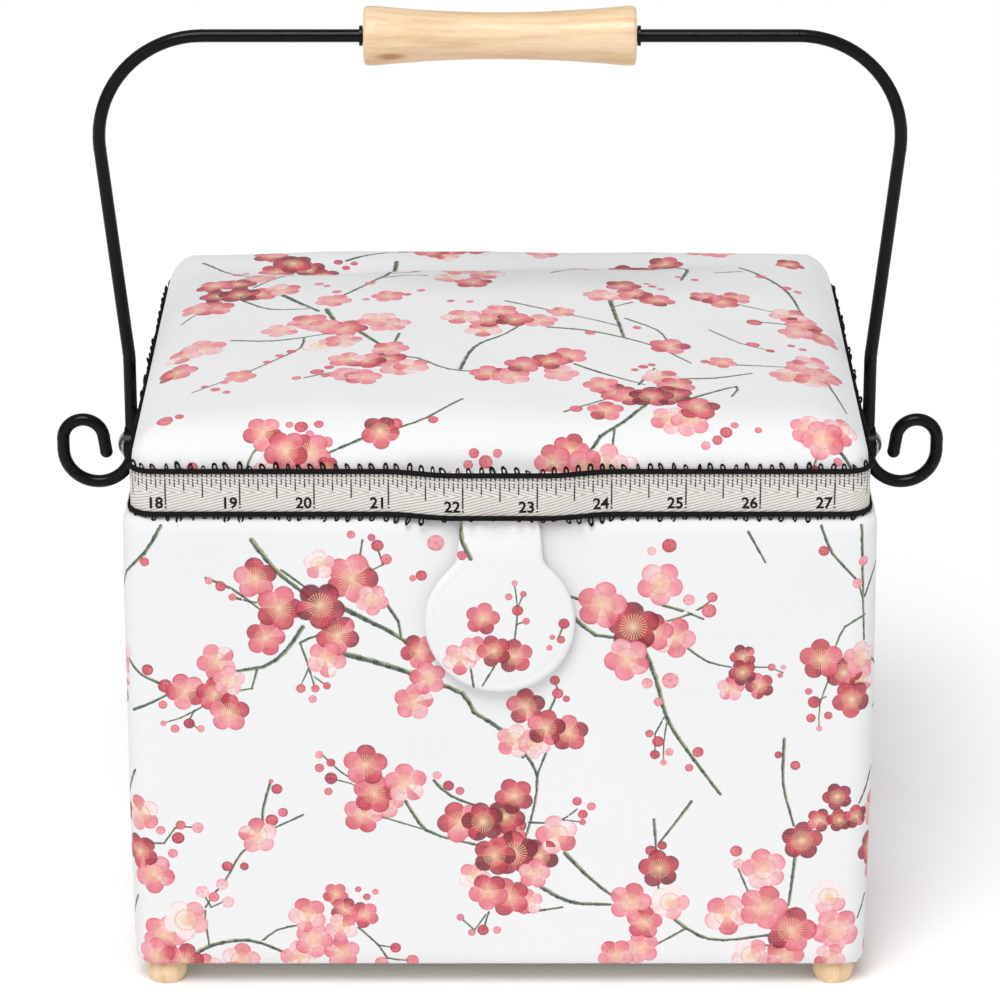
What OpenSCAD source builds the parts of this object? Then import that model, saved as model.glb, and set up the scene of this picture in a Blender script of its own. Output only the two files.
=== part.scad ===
// Sewing box with trays: a fabric-covered wooden-board box on ball feet, with a padded lid,
// a measuring-tape edge ribbon, a tab closure, a wire bail handle and two lift-out trays.
// Millimetres. +Z up, the front faces -Y, the origin is on the floor under the middle of the box.

/* [Box] */
// Outside width of the covered box
body_w = 260; // [220:1:300]
// Outside depth of the covered box
body_d = 210; // [200:1:240]
// Height of the box walls above the feet
body_h = 170; // [150:1:200]
// Radius of the upright corners
corner_r = 8; // [7:0.5:9]
// Thickness of the fabric and its wadding
pad_t = 3; // [2:0.5:4]
// Thickness of the wall boards
board_t = 3; // [2:0.5:4]
// Thickness of the lining cloth
lining_t = 1; // [0.8:0.1:1.5]

/* [Feet] */
// Height of a ball foot
foot_h = 9; // [8:0.5:12]
// Radius of a ball foot
foot_r = 7.4; // [6:0.1:8]
// Distance of the feet from the middle, left and right
foot_x = 119; // [90:1:122]
// Distance of the feet from the middle, front and back
foot_y = 95; // [70:1:98]

/* [Lid] */
// Outside width of the lid band
lid_w = 254; // [220:1:256]
// Outside depth of the lid band
lid_d = 206; // [196:1:206]
// Height of the lid band
band_h = 16; // [14:0.5:20]
// Height of the cushioned crown above the band
crown_h = 24; // [16:1:30]
// Thickness of the lid frame
lid_wall = 4.5; // [3:0.5:5]
// Thickness of the tape ribbon
ribbon_t = 0.8; // [0.5:0.1:1]
// How far the lid opens
lid_open = 105; // [60:1:105]

/* [Tab] */
// Radius of the round tab
tab_r = 26; // [18:0.5:30]
// Width of its neck
tab_neck = 29; // [20:1:32]
// Thickness of the tab
tab_t = 4; // [3:0.5:4]
// Height of the tab's centre below the rim
tab_drop = 37; // [32:1:45]

/* [Handle] */
// Diameter of the wire
wire_d = 4.6; // [4:0.1:5]
// Height of the grip's axis above the pivots
bail_rise = 153; // [148:1:160]
// Half width of the straight top run
top_run = 105; // [100:0.5:110]
// Radius of the shoulder bends
shoulder_r = 37.5; // [30:0.5:40]
// Inward slant of the legs
leg_slant = 6; // [5:0.1:9]
// Radius of the scroll's lower curve
scroll_r = 12.5; // [12:0.5:15]
// Radius of the scroll's upper curl
curl_r = 7.4; // [6:0.1:8]
// Length of the wooden grip
grip_len = 96; // [80:1:110]
// Diameter of the grip at its ends
grip_d = 21; // [18:0.5:24]
// Diameter of the grip at its waist
waist_d = 16.5; // [14:0.5:18]

/* [Trays] */
// Height of a tray
tray_h = 34; // [24:1:40]
// Wall of a tray
tray_wall = 1.8; // [1.5:0.1:2.5]
// Depth of the trays' rims below the box rim
tray_sink = 8; // [8:0.5:14]

/* [Hidden] */
$fn = 72;
rim_z = foot_h + body_h;
in_w = body_w - 2 * (pad_t + board_t + lining_t);
in_d = body_d - 2 * (pad_t + board_t + lining_t);
base_t = 4;
floor_z = foot_h + 1 + base_t + lining_t;
gap = 0.5;
lid_z = rim_z + gap;
lid_top = lid_z + band_h;
frame_w = lid_w - 2 * ribbon_t;
frame_d = lid_d - 2 * ribbon_t;
lid_board_t = 3;
recess_h = band_h - lid_board_t - lining_t;
hinge_x = 72;
hinge_y = body_d / 2 + 2.5;
hinge_w = 36;
knuckle_r = 2.5;
hinge_pin_r = 1.2;
leaf_t = 1.2;
pivot_z = rim_z - 11;
plate_t = 1.2;
wire_r = wire_d / 2;
eye_t = 5;
leg_x = body_w / 2 + plate_t + 0.4 + eye_t / 2;
grip_z = pivot_z + bail_rise;
shoulder_x = top_run + shoulder_r * cos(leg_slant);
leg_bend = 30;
leg_len = (shoulder_x - leg_x - leg_bend * (1 - cos(leg_slant))) / sin(leg_slant);
leg_top = grip_z - shoulder_r * (1 + sin(leg_slant)) - leg_len * cos(leg_slant)
    - leg_bend * sin(leg_slant);
scroll_z = pivot_z - 2;
tray_z = rim_z - tray_sink - tray_h + 0.3;
tray_y0 = -in_d / 2 + 1.5;
tray_y1 = in_d / 2 - 7.5;
tray_w = 118.5;
tab_z = rim_z - tab_drop;
tab_y = -body_d / 2 - 5;
tab_axis_z = rim_z + 1.6;
catch_z = tab_z - 4;
cloth = [0.93, 0.92, 0.91];
card = [0.72, 0.62, 0.48];
lining_c = [0.9, 0.86, 0.8];
black = [0.05, 0.05, 0.055];
pale_wood = [0.93, 0.8, 0.6];
steel = [0.75, 0.75, 0.77];
brass_c = [0.8, 0.64, 0.32];
tray_c = [0.94, 0.93, 0.9];

// ---- shared shapes ----

// an upright prism with rounded corners, standing on z = 0
module slab(w, d, h, r) {
    translate([-(w / 2 - r), -d / 2, 0]) cube([w - 2 * r, d, h]);
    translate([-w / 2, -(d / 2 - r), 0]) cube([w, d - 2 * r, h]);
    for (x = [-1, 1], y = [-1, 1])
        translate([x * (w / 2 - r), y * (d / 2 - r), 0]) cylinder(r = r, h = h);
}

function arc_r(half, rise) = (half * half + rise * rise) / (2 * rise);

// a cushion that is highest in the middle and falls away to all four sides
module crown(w, d, h, fall) {
    rx = arc_r(w / 2, fall);
    ry = arc_r(d / 2, fall);
    intersection() {
        slab(w, d, h, corner_r);
        translate([0, 0, h - rx]) rotate([90, 0, 0])
            cylinder(r = rx, h = d + 2, center = true, $fn = 720);
        translate([0, 0, h - ry]) rotate([0, 90, 0])
            cylinder(r = ry, h = w + 2, center = true, $fn = 720);
    }
}

// a cylinder from the point p, along +X, +Y or +Z
module rod_x(p, r, h) { translate(p) rotate([0, 90, 0]) cylinder(r = r, h = h); }
module rod_y(p, r, h) { translate(p) rotate([-90, 0, 0]) cylinder(r = r, h = h); }
module rod_z(p, r, h) { translate(p) cylinder(r = r, h = h); }

// a low domed head on its flat face at z = 0
module dome(r, h) {
    rr = arc_r(r, h);
    intersection() {
        translate([0, 0, h - rr]) sphere(rr);
        cylinder(r = r, h = h + 1);
    }
}

module at_feet() {
    for (x = [-1, 1], y = [-1, 1]) translate([x * foot_x, y * foot_y, 0]) children();
}
module at_plate_screws() {
    for (m = [0, 1], z = [-14, -25]) mirror([m, 0, 0])
        translate([body_w / 2, 0, pivot_z + z]) children();
}
module at_hinge_screws(z) {
    for (x = [-1, 1], s = [-1, 1]) translate([x * hinge_x + s * 11, 0, z]) children();
}
// everything that passes through the walls, cut from each wall layer
module wall_holes() {
    for (x = [-1, 1]) rod_x([x * body_w / 2 - 20, 0, pivot_z], 2.5, 40);
    at_plate_screws() rod_x([-5, 0, 0], 1, 10);
    at_hinge_screws(rim_z - 14) rod_y([0, body_d / 2 - 4.4, 0], 1.1, 10);
    rod_y([0, -body_d / 2 - 1, catch_z], 6, 2);
}

// ---- the box ----

module body_cover() {
    color(cloth) difference() {
        translate([0, 0, foot_h]) slab(body_w, body_d, body_h, corner_r);
        translate([-body_w / 2 + pad_t, -body_d / 2 + pad_t, foot_h - 1])
            cube([body_w - 2 * pad_t, body_d - 2 * pad_t, body_h - pad_t + 1]);
        translate([-in_w / 2 - lining_t, -in_d / 2 - lining_t, foot_h])
            cube([in_w + 2 * lining_t, in_d + 2 * lining_t, body_h + 1]);
        wall_holes();
    }
}

module long_board(y) {
    color(card) difference() {
        translate([-body_w / 2 + pad_t, y, foot_h + 1])
            cube([body_w - 2 * pad_t, board_t, body_h - pad_t - 1]);
        wall_holes();
    }
}
module board_front() { long_board(-body_d / 2 + pad_t); }
module board_back() { long_board(body_d / 2 - pad_t - board_t); }

module short_board(x) {
    color(card) difference() {
        translate([x, -in_d / 2 - lining_t, foot_h + 1])
            cube([board_t, in_d + 2 * lining_t, body_h - pad_t - 1]);
        wall_holes();
    }
}
module board_left() { short_board(-body_w / 2 + pad_t); }
module board_right() { short_board(body_w / 2 - pad_t - board_t); }

module base_board() {
    color(card) difference() {
        translate([-in_w / 2 - lining_t, -in_d / 2 - lining_t, foot_h + 1])
            cube([in_w + 2 * lining_t, in_d + 2 * lining_t, base_t]);
        at_feet() rod_z([0, 0, foot_h], 1.6, 6);
        at_feet() rod_z([0, 0, foot_h + base_t], 3.2, 2);
    }
}

module base_cloth() {
    color(cloth) difference() {
        translate([-body_w / 2 + pad_t, -body_d / 2 + pad_t, foot_h])
            cube([body_w - 2 * pad_t, body_d - 2 * pad_t, 1]);
        at_feet() rod_z([0, 0, foot_h - 1], 1.6, 3);
    }
}

module body_lining() {
    color(lining_c) difference() {
        translate([-in_w / 2 - lining_t, -in_d / 2 - lining_t, floor_z - lining_t])
            cube([in_w + 2 * lining_t, in_d + 2 * lining_t, rim_z - floor_z + lining_t]);
        translate([-in_w / 2, -in_d / 2, floor_z]) cube([in_w, in_d, body_h]);
        wall_holes();
    }
}

module foot(x, y) {
    color(pale_wood) translate([x * foot_x, y * foot_y, 0]) difference() {
        rotate_extrude() intersection() {
            translate([0, foot_h / 2]) circle(foot_r);
            square([foot_r + 1, foot_h]);
        }
        rod_z([0, 0, 4], 1.6, foot_h);
    }
}
module foot_fl() { foot(-1, -1); }
module foot_fr() { foot(1, -1); }
module foot_bl() { foot(-1, 1); }
module foot_br() { foot(1, 1); }

module foot_screws() {
    color(steel) at_feet() {
        rod_z([0, 0, 4], 1.6, foot_h + base_t - 4);
        rod_z([0, 0, foot_h + base_t], 3.2, 1);
    }
}

module ledge(y, d) {
    color(card) translate([-in_w / 2, y, tray_z - 8.3]) cube([in_w, d, 8]);
}
module ledge_front() { ledge(-in_d / 2, 7); }
module ledge_back() { ledge(in_d / 2 - 12, 12); }

// ---- handle fittings on the sides ----

module side_plate(s) {
    color(black) difference() {
        translate([s * (body_w / 2 + plate_t / 2), 0, pivot_z - 12]) rotate([0, 90, 0])
            translate([0, 0, -plate_t / 2]) slab(40, 18, plate_t, 8.9);
        wall_holes();
    }
}
module side_plate_l() { side_plate(-1); }
module side_plate_r() { side_plate(1); }

module plate_screws() {
    color(steel) at_plate_screws() {
        rod_x([-5, 0, 0], 1, 5 + plate_t);
        translate([plate_t, 0, 0]) rotate([0, 90, 0]) dome(2, 0.7);
    }
}

module pivot_rivet(s) {
    color(steel) mirror([s < 0 ? 1 : 0, 0, 0]) {
        rod_x([in_w / 2 - 1.2, 0, pivot_z], 5, 1.2);
        rod_x([in_w / 2, 0, pivot_z], 2.5, leg_x + eye_t / 2 + 0.4 - in_w / 2);
        translate([leg_x + eye_t / 2 + 0.4, 0, pivot_z]) rotate([0, 90, 0]) dome(4.6, 2.2);
    }
}
module pivot_rivet_l() { pivot_rivet(-1); }
module pivot_rivet_r() { pivot_rivet(1); }

// ---- hinges at the back ----

pitch = hinge_w / 5;
// the knuckles number i of five, each 0.4 shorter than its place
module knuckles(list, bore) {
    for (i = list) translate([-hinge_w / 2 + i * pitch + 0.2, hinge_y, rim_z]) rotate([0, 90, 0])
        difference() {
            cylinder(r = knuckle_r, h = pitch - 0.4);
            translate([0, 0, -1]) cylinder(r = bore, h = pitch + 2);
        }
}

module hinge_base(x) {
    color(brass_c) translate([x, 0, 0]) difference() {
        union() {
            translate([-hinge_w / 2, body_d / 2, rim_z - 24]) cube([hinge_w, leaf_t, 21]);
            for (i = [0, 2, 4]) translate([-hinge_w / 2 + i * pitch + 0.2, body_d / 2, rim_z - 4])
                cube([pitch - 0.4, 2.5, 4]);
            knuckles([0, 2, 4], hinge_pin_r);
        }
        rod_x([-hinge_w, hinge_y, rim_z], hinge_pin_r, 2 * hinge_w);
        for (s = [-1, 1]) rod_y([s * 11, body_d / 2 - 1, rim_z - 14], 1.1, 4);
    }
}
module hinge_base_l() { hinge_base(-hinge_x); }
module hinge_base_r() { hinge_base(hinge_x); }

module hinge_top(x) {
    color(brass_c) translate([x, 0, 0]) difference() {
        union() {
            translate([-hinge_w / 2, lid_d / 2, rim_z + 1]) cube([hinge_w, leaf_t, 14]);
            for (i = [1, 3]) translate([-hinge_w / 2 + i * pitch + 0.2, lid_d / 2, rim_z + 1])
                cube([pitch - 0.4, hinge_y - lid_d / 2, 1.4]);
            knuckles([1, 3], hinge_pin_r + 0.05);
        }
        rod_x([-hinge_w, hinge_y, rim_z], hinge_pin_r + 0.05, 2 * hinge_w);
        for (s = [-1, 1]) rod_y([s * 11, lid_d / 2 - 1, rim_z + 9], 1.1, 4);
    }
}
module hinge_top_l() { hinge_top(-hinge_x); }
module hinge_top_r() { hinge_top(hinge_x); }

module hinge_pin(x) {
    color(steel) rod_x([x - hinge_w / 2, hinge_y, rim_z], hinge_pin_r, hinge_w);
}
module hinge_pin_l() { hinge_pin(-hinge_x); }
module hinge_pin_r() { hinge_pin(hinge_x); }

module hinge_screws(y, z) {
    color(brass_c) at_hinge_screws(z) {
        rod_y([0, y - 4.4, 0], 1.1, 4.4 + leaf_t);
        translate([0, y + leaf_t, 0]) rotate([-90, 0, 0]) dome(2, 0.7);
    }
}
module hinge_screws_box() { hinge_screws(body_d / 2, rim_z - 14); }
module hinge_screws_lid() { hinge_screws(lid_d / 2, rim_z + 9); }

module catch_plate() {
    color(steel) rod_y([0, -body_d / 2, catch_z], 6, 1);
}

// ---- the lid ----

module lid_screw_holes() {
    at_hinge_screws(rim_z + 9) rod_y([0, lid_d / 2 - 4.4, 0], 1.1, 10);
}

module lid_frame() {
    color(card) difference() {
        translate([0, 0, lid_z]) slab(frame_w, frame_d, band_h - lid_board_t, corner_r);
        translate([-frame_w / 2 + lid_wall, -frame_d / 2 + lid_wall, lid_z - 1])
            cube([frame_w - 2 * lid_wall, frame_d - 2 * lid_wall, band_h]);
        lid_screw_holes();
    }
}

module lid_board() {
    color(card) translate([0, 0, lid_top - lid_board_t]) slab(frame_w, frame_d, lid_board_t, corner_r);
}

module lid_pad() {
    color(cloth) translate([0, 0, lid_top]) crown(frame_w - 3, frame_d - 3, crown_h - 1.5, 9);
}

module lid_cover() {
    color(cloth) translate([0, 0, lid_top]) difference() {
        crown(frame_w, frame_d, crown_h, 9);
        crown(frame_w - 3, frame_d - 3, crown_h - 1.5, 9);
    }
}

module lid_lining() {
    w = frame_w - 2 * lid_wall;
    d = frame_d - 2 * lid_wall;
    color(lining_c) translate([0, 0, lid_z]) difference() {
        translate([-w / 2, -d / 2, 0]) cube([w, d, recess_h + lining_t]);
        translate([-w / 2 + lining_t, -d / 2 + lining_t, -1])
            cube([w - 2 * lining_t, d - 2 * lining_t, recess_h + 1]);
    }
}

module edge_ribbon() {
    color([0.85, 0.8, 0.7]) difference() {
        translate([0, 0, lid_z]) slab(lid_w, lid_d, band_h, corner_r + ribbon_t);
        translate([0, 0, lid_z - 1]) slab(frame_w, frame_d, band_h + 2, corner_r);
        lid_screw_holes();
    }
}

module pin_cushion() {
    color([0.78, 0.36, 0.38]) translate([86, -5, lid_z + recess_h]) intersection() {
        translate([-28, -45, -8]) cube([56, 90, 8]);
        translate([0, 0, arc_r(28, 5) - 8]) rotate([90, 0, 0])
            cylinder(r = arc_r(28, 5), h = 90, center = true, $fn = 360);
        translate([0, 0, arc_r(45, 5) - 8]) rotate([0, 90, 0])
            cylinder(r = arc_r(45, 5), h = 60, center = true, $fn = 360);
    }
}

// a pouch against the lid's ceiling, open towards the front
module lid_pocket() {
    color(cloth) translate([-106, -40, lid_z + recess_h - 7]) difference() {
        cube([150, 95, 7]);
        translate([2, -1, 1.5]) cube([146, 94, 6]);
    }
}

module tab_anchor() {
    color(cloth) translate([-tab_neck / 2, -lid_d / 2 - 2.4, lid_z + 2]) cube([tab_neck, 2.4, 7]);
}

// ---- the tab ----

module tab_pad() {
    color(cloth) difference() {
        union() {
            rod_y([0, tab_y, tab_z], tab_r, tab_t);
            translate([-tab_neck / 2, tab_y, tab_z])
                cube([tab_neck, tab_t, tab_axis_z - tab_z]);
            rod_x([-tab_neck / 2, tab_y + tab_t / 2, tab_axis_z], tab_t / 2, tab_neck);
        }
        rod_y([0, tab_y + tab_t - 1.5, catch_z], 5, 3);
    }
}

module tab_magnet() {
    color(steel) rod_y([0, tab_y + tab_t - 1.5, catch_z], 5, 1.5);
}

// ---- the trays ----

// one rounded compartment, from the tray's floor up
module cell(x0, x1, y0, y1) {
    translate([(x0 + x1) / 2, (y0 + y1) / 2, tray_z + tray_wall])
        slab(x1 - x0, y1 - y0, tray_h, 3);
}

// the rows are [y0, y1, columns], as shares of the tray's inside
module tray(x0, rows) {
    w = tray_w - tray_wall;
    d = tray_y1 - tray_y0 - tray_wall;
    difference() {
        translate([x0 + tray_w / 2, (tray_y0 + tray_y1) / 2, tray_z])
            slab(tray_w, tray_y1 - tray_y0, tray_h, 5);
        for (r = rows, i = [0 : r[2] - 1])
            cell(x0 + tray_wall + i * w / r[2], x0 + (i + 1) * w / r[2],
                tray_y0 + tray_wall + r[0] * d, tray_y0 + r[1] * d);
        // a finger hole through the wall between the first and the second row
        rod_y([x0 + tray_w / 2, tray_y0 + rows[0][1] * d - 3, tray_z + tray_h - 13], 9, 8);
    }
}
module tray_left() { color(tray_c) tray(-1 - tray_w, [[0, 0.5, 1], [0.5, 1, 3]]); }
module tray_right() { color(tray_c) tray(1, [[0, 0.38, 1], [0.38, 1, 1]]); }

// a loose divider that drops into the right tray's rear space and makes five cells of it
module tray_right_divider() {
    w = tray_w - tray_wall;
    d = tray_y1 - tray_y0 - tray_wall;
    color(tray_c) difference() {
        translate([1 + tray_w / 2, tray_y0 + tray_wall / 2 + 0.69 * d, tray_z + tray_wall])
            slab(w - tray_wall - 0.2, 0.62 * d - tray_wall - 0.2, tray_h - tray_wall - 0.4, 3);
        translate([0, 0, -1]) for (r = [[0.38, 0.69, 3], [0.69, 1, 2]], i = [0 : r[2] - 1])
            cell(1 + tray_wall + i * w / r[2], 1 + (i + 1) * w / r[2],
                tray_y0 + tray_wall + r[0] * d, tray_y0 + r[1] * d);
    }
}

// ---- the handle ----

// Each step draws one stretch of wire from the origin along +X and hands on to its children
// at the stretch's end: a straight run, or a bend of radius r through the angle a (- is right).
// A ball a hair thicker than the wire joins each stretch to the next.
seam = 0.05;
module knot() { sphere(wire_r + 0.06); }
module run(len) {
    translate([seam, 0, 0]) rotate([0, 90, 0]) cylinder(r = wire_r, h = len - 2 * seam);
    translate([len, 0, 0]) {
        knot();
        children();
    }
}
module bend(r, a) {
    s = a < 0 ? -1 : 1;
    cut = seam / r * 180 / PI;
    translate([0, 0, s * r]) rotate([90, 0, 0])
        rotate_extrude(angle = abs(a) - 2 * cut, start = (s > 0 ? 270 : 90 - abs(a)) + cut)
            translate([r, 0]) circle(wire_r, $fn = 48);
    translate([r * sin(abs(a)), 0, s * r * (1 - cos(a))]) rotate([0, -a, 0]) {
        knot();
        children();
    }
}

// one side of the bail, from the end of the top run to the tip of the scroll
module side_wire() {
    translate([top_run, 0, grip_z]) {
        knot();
        bend(shoulder_r, -90 - leg_slant) run(leg_len) bend(leg_bend, leg_slant)
            run(leg_top - scroll_z) bend(scroll_r, 180) run(4) bend(curl_r, 172) run(6);
    }
}

module handle_wire() {
    color(black) difference() {
        union() {
            rod_x([seam - top_run, 0, grip_z], wire_r, 2 * (top_run - seam));
            for (m = [0, 1]) mirror([m, 0, 0]) side_wire();
            for (s = [-1, 1]) rod_x([s * leg_x - eye_t / 2, 0, pivot_z], 6.5, eye_t);
        }
        for (s = [-1, 1]) rod_x([s * leg_x - 5, 0, pivot_z], 2.55, 10);
    }
}

module grip_stops() {
    color(black) for (s = [-1, 1]) translate([s * (grip_len / 2 + 1), 0, grip_z])
        rotate([0, 90, 0]) difference() {
            cylinder(r = 3.6, h = 1.2, center = true);
            cylinder(r = wire_r, h = 3, center = true);
        }
}

module handle_grip() {
    waist = arc_r(grip_len / 2 - 4, (grip_d - waist_d) / 2);
    color(pale_wood) translate([-grip_len / 2, 0, grip_z]) rotate([0, 90, 0]) difference() {
        rotate_extrude() difference() {
            union() {
                translate([0, 1.5]) square([grip_d / 2, grip_len - 3]);
                square([grip_d / 2 - 1.5, grip_len]);
                for (y = [1.5, grip_len - 1.5]) translate([grip_d / 2 - 1.5, y]) circle(1.5);
            }
            translate([waist_d / 2 + waist, grip_len / 2]) circle(waist, $fn = 720);
        }
        translate([0, 0, -1]) cylinder(r = wire_r + 0.06, h = grip_len + 2);
    }
}

body_cover();
board_front();
board_back();
board_left();
board_right();
base_board();
base_cloth();
body_lining();
foot_fl();
foot_fr();
foot_bl();
foot_br();
foot_screws();
ledge_front();
ledge_back();
side_plate_l();
side_plate_r();
plate_screws();
pivot_rivet_l();
pivot_rivet_r();
hinge_base_l();
hinge_base_r();
hinge_pin_l();
hinge_pin_r();
hinge_screws_box();
catch_plate();
lid_frame();
lid_board();
lid_pad();
lid_cover();
lid_lining();
edge_ribbon();
pin_cushion();
lid_pocket();
hinge_top_l();
hinge_top_r();
hinge_screws_lid();
tab_anchor();
tab_pad();
tab_magnet();
tray_left();
tray_right();
tray_right_divider();
handle_wire();
grip_stops();
handle_grip();
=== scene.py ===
import math
import bmesh
import bpy
import numpy as np
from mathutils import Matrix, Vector


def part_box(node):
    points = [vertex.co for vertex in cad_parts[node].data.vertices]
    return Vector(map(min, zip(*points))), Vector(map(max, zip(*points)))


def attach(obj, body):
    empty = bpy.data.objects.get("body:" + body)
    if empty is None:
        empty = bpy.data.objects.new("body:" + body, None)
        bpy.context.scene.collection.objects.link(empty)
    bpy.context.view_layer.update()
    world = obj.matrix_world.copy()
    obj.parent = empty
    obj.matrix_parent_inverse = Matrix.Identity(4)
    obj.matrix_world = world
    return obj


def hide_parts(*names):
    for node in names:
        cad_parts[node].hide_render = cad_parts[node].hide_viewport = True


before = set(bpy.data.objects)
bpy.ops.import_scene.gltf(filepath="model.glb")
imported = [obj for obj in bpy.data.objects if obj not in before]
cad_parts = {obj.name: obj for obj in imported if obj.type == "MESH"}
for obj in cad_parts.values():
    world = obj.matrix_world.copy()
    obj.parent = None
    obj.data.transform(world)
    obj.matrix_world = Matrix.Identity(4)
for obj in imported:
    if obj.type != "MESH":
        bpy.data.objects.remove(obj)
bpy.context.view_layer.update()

# ---------------------------------------------------------------------------
# The view: a long lens a little above the box, looking straight at its front,
# over a plain pale floor with broad soft light from above and both sides.
look = bpy.data.cameras.new("view_lens")
look.lens, look.sensor_width = 161.0, 36.0
look.clip_end = 50
eye = bpy.data.objects.new("view", look)
eye.location = (0.0, -1.532, 0.725)
eye.rotation_euler = (math.radians(90 - 20.7), 0, 0)
bpy.context.scene.collection.objects.link(eye)
bpy.context.scene.camera = eye
bpy.context.scene.view_settings.view_transform = "Standard"

sky = bpy.data.worlds.new("room")
bpy.context.scene.world = sky
sky.use_nodes = True
sky.node_tree.nodes["Background"].inputs["Color"].default_value = (0.985, 0.99, 1.0, 1)
sky.node_tree.nodes["Background"].inputs["Strength"].default_value = 0.5


def soft_light(name, place, target, size, power):
    """A large square light that faces the target."""
    lamp = bpy.data.lights.new(name, "AREA")
    lamp.energy, lamp.size = power, size
    ob = bpy.data.objects.new(name, lamp)
    ob.location = place
    ob.rotation_euler = (Vector(target) - Vector(place)).to_track_quat("-Z", "Y").to_euler()
    bpy.context.scene.collection.objects.link(ob)


soft_light("light_left", (-1.3, -1.3, 0.9), (0, 0, 0.12), 1.0, 3)
soft_light("light_right", (1.4, -1.1, 0.8), (0, 0, 0.12), 1.0, 1.8)
overhead = bpy.data.lights.new("light_overhead", "SUN")
overhead.energy, overhead.angle = 2.0, math.radians(32)
lamp = bpy.data.objects.new("light_overhead", overhead)
lamp.rotation_euler = (math.radians(31), math.radians(-9), 0)
bpy.context.scene.collection.objects.link(lamp)

# ---------------------------------------------------------------------------
# The floor: a wide matt white sheet that isn't part of the box. It is the first
# piece with a finish, so this section says how finishes are written: a Val
# wraps a shader socket, and a Finish is one material that adds the nodes.


class Val:
    """One value in a material, with the usual arithmetic."""

    def __init__(self, finish, out):
        self.finish, self.out = finish, out

    def _do(self, kind, a, b=None):
        return self.finish.node("Math", {"operation": kind}, [a] if b is None else [a, b])

    def __add__(self, o): return self._do("ADD", self, o)
    def __radd__(self, o): return self._do("ADD", o, self)
    def __sub__(self, o): return self._do("SUBTRACT", self, o)
    def __rsub__(self, o): return self._do("SUBTRACT", o, self)
    def __mul__(self, o): return self._do("MULTIPLY", self, o)
    def __rmul__(self, o): return self._do("MULTIPLY", o, self)
    def __truediv__(self, o): return self._do("DIVIDE", self, o)
    def __rtruediv__(self, o): return self._do("DIVIDE", o, self)
    def __gt__(self, o): return self._do("GREATER_THAN", self, o)
    def __lt__(self, o): return self._do("LESS_THAN", self, o)
    def power(self, o): return self._do("POWER", self, o)
    def abs(self): return self._do("ABSOLUTE", self)
    def sin(self): return self._do("SINE", self)
    def cos(self): return self._do("COSINE", self)
    def fract(self): return self._do("FRACT", self)
    def floor(self): return self._do("FLOOR", self)
    def root(self): return self._do("SQRT", self)
    def least(self, o): return self._do("MINIMUM", self, o)
    def most(self, o): return self._do("MAXIMUM", self, o)


class Finish:
    """One material. Constant sockets of the main shader are set by name."""

    def __init__(self, name, **constants):
        self.mat = bpy.data.materials.new(name)
        self.mat.use_nodes = True
        self.tree = self.mat.node_tree
        self.tree.nodes.clear()
        out = self.tree.nodes.new("ShaderNodeOutputMaterial")
        self.skin = self.tree.nodes.new("ShaderNodeBsdfPrincipled")
        self.tree.links.new(self.skin.outputs[0], out.inputs[0])
        for key, value in constants.items():
            key = key.replace("_", " ")
            self.skin.inputs[key].default_value = (*value, 1) if isinstance(value, tuple) else value

    def node(self, kind, settings=None, sockets=None, out=0):
        """Adds a node: its settings first, then the values or links of its sockets."""
        n = self.tree.nodes.new("ShaderNode" + kind)
        for key, value in (settings or {}).items():
            if key == "stops":
                ramp = n.color_ramp
                for i, (at, tint) in enumerate(value):
                    stop = ramp.elements[i] if i < 2 else ramp.elements.new(at)
                    stop.position, stop.color = at, (*tint, 1)
            else:
                setattr(n, key, value)
        pairs = sockets.items() if isinstance(sockets, dict) else enumerate(sockets or [])
        for key, value in pairs:
            if isinstance(value, Val):
                self.tree.links.new(value.out, n.inputs[key])
            elif isinstance(value, tuple) and n.inputs[key].type == "RGBA":
                n.inputs[key].default_value = (*value, 1)
            else:
                n.inputs[key].default_value = value
        return Val(self, n.outputs[out])

    def mix(self, share, a, b):
        return self.node("Mix", {"data_type": "RGBA"}, {0: share, 6: a, 7: b}, out=2)

    def soft(self, value, low, high):
        """0 at low, 1 at high, smooth between."""
        return self.node("MapRange", {"interpolation_type": "SMOOTHSTEP"},
                         [value, low, high, 0.0, 1.0])

    def place(self, scale=(1, 1, 1)):
        """Object coordinates in millimetres, stretched by scale."""
        spot = self.node("TexCoord", out=3)
        return self.node("Mapping", {}, {"Vector": spot, "Scale": tuple(1000 * s for s in scale)})

    def grain(self, where, scale, detail=2.0, rough=0.5, out=0):
        return self.node("TexNoise", {}, {"Vector": where, "Scale": scale, "Detail": detail,
                                          "Roughness": rough}, out=out)

    def parts(self, vector):
        return [self.node("SeparateXYZ", {}, [vector], out=i) for i in range(3)]

    def set(self, **links):
        for key, value in links.items():
            self.tree.links.new(value.out, self.skin.inputs[key.replace("_", " ")])
        return self

    def bump(self, height, strength, distance=0.0002):
        self.set(Normal=self.node("Bump", {}, {"Strength": strength, "Distance": distance,
                                               "Height": height}))
        return self


floor = bpy.data.meshes.new("floor")
floor.from_pydata([(-6, -6, 0), (6, -6, 0), (6, 6, 0), (-6, 6, 0)], [], [(0, 1, 2, 3)])
floor_ob = bpy.data.objects.new("floor", floor)
bpy.context.scene.collection.objects.link(floor_ob)
pale = Finish("pale_floor", Base_Color=(0.97, 0.97, 0.97), Roughness=0.9)
floor.materials.append(pale.mat)

# ---------------------------------------------------------------------------
# Feet and grip: turned pale wood under a satin varnish. The grain runs along
# the grip, with a small brown knot near its left end, and up through the feet.


def dress(finish, *names):
    """CAD pieces keep their shape and take a finish."""
    for name in names:
        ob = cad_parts[name]
        ob.data.materials.clear()
        ob.data.materials.append(finish.mat)


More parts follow.
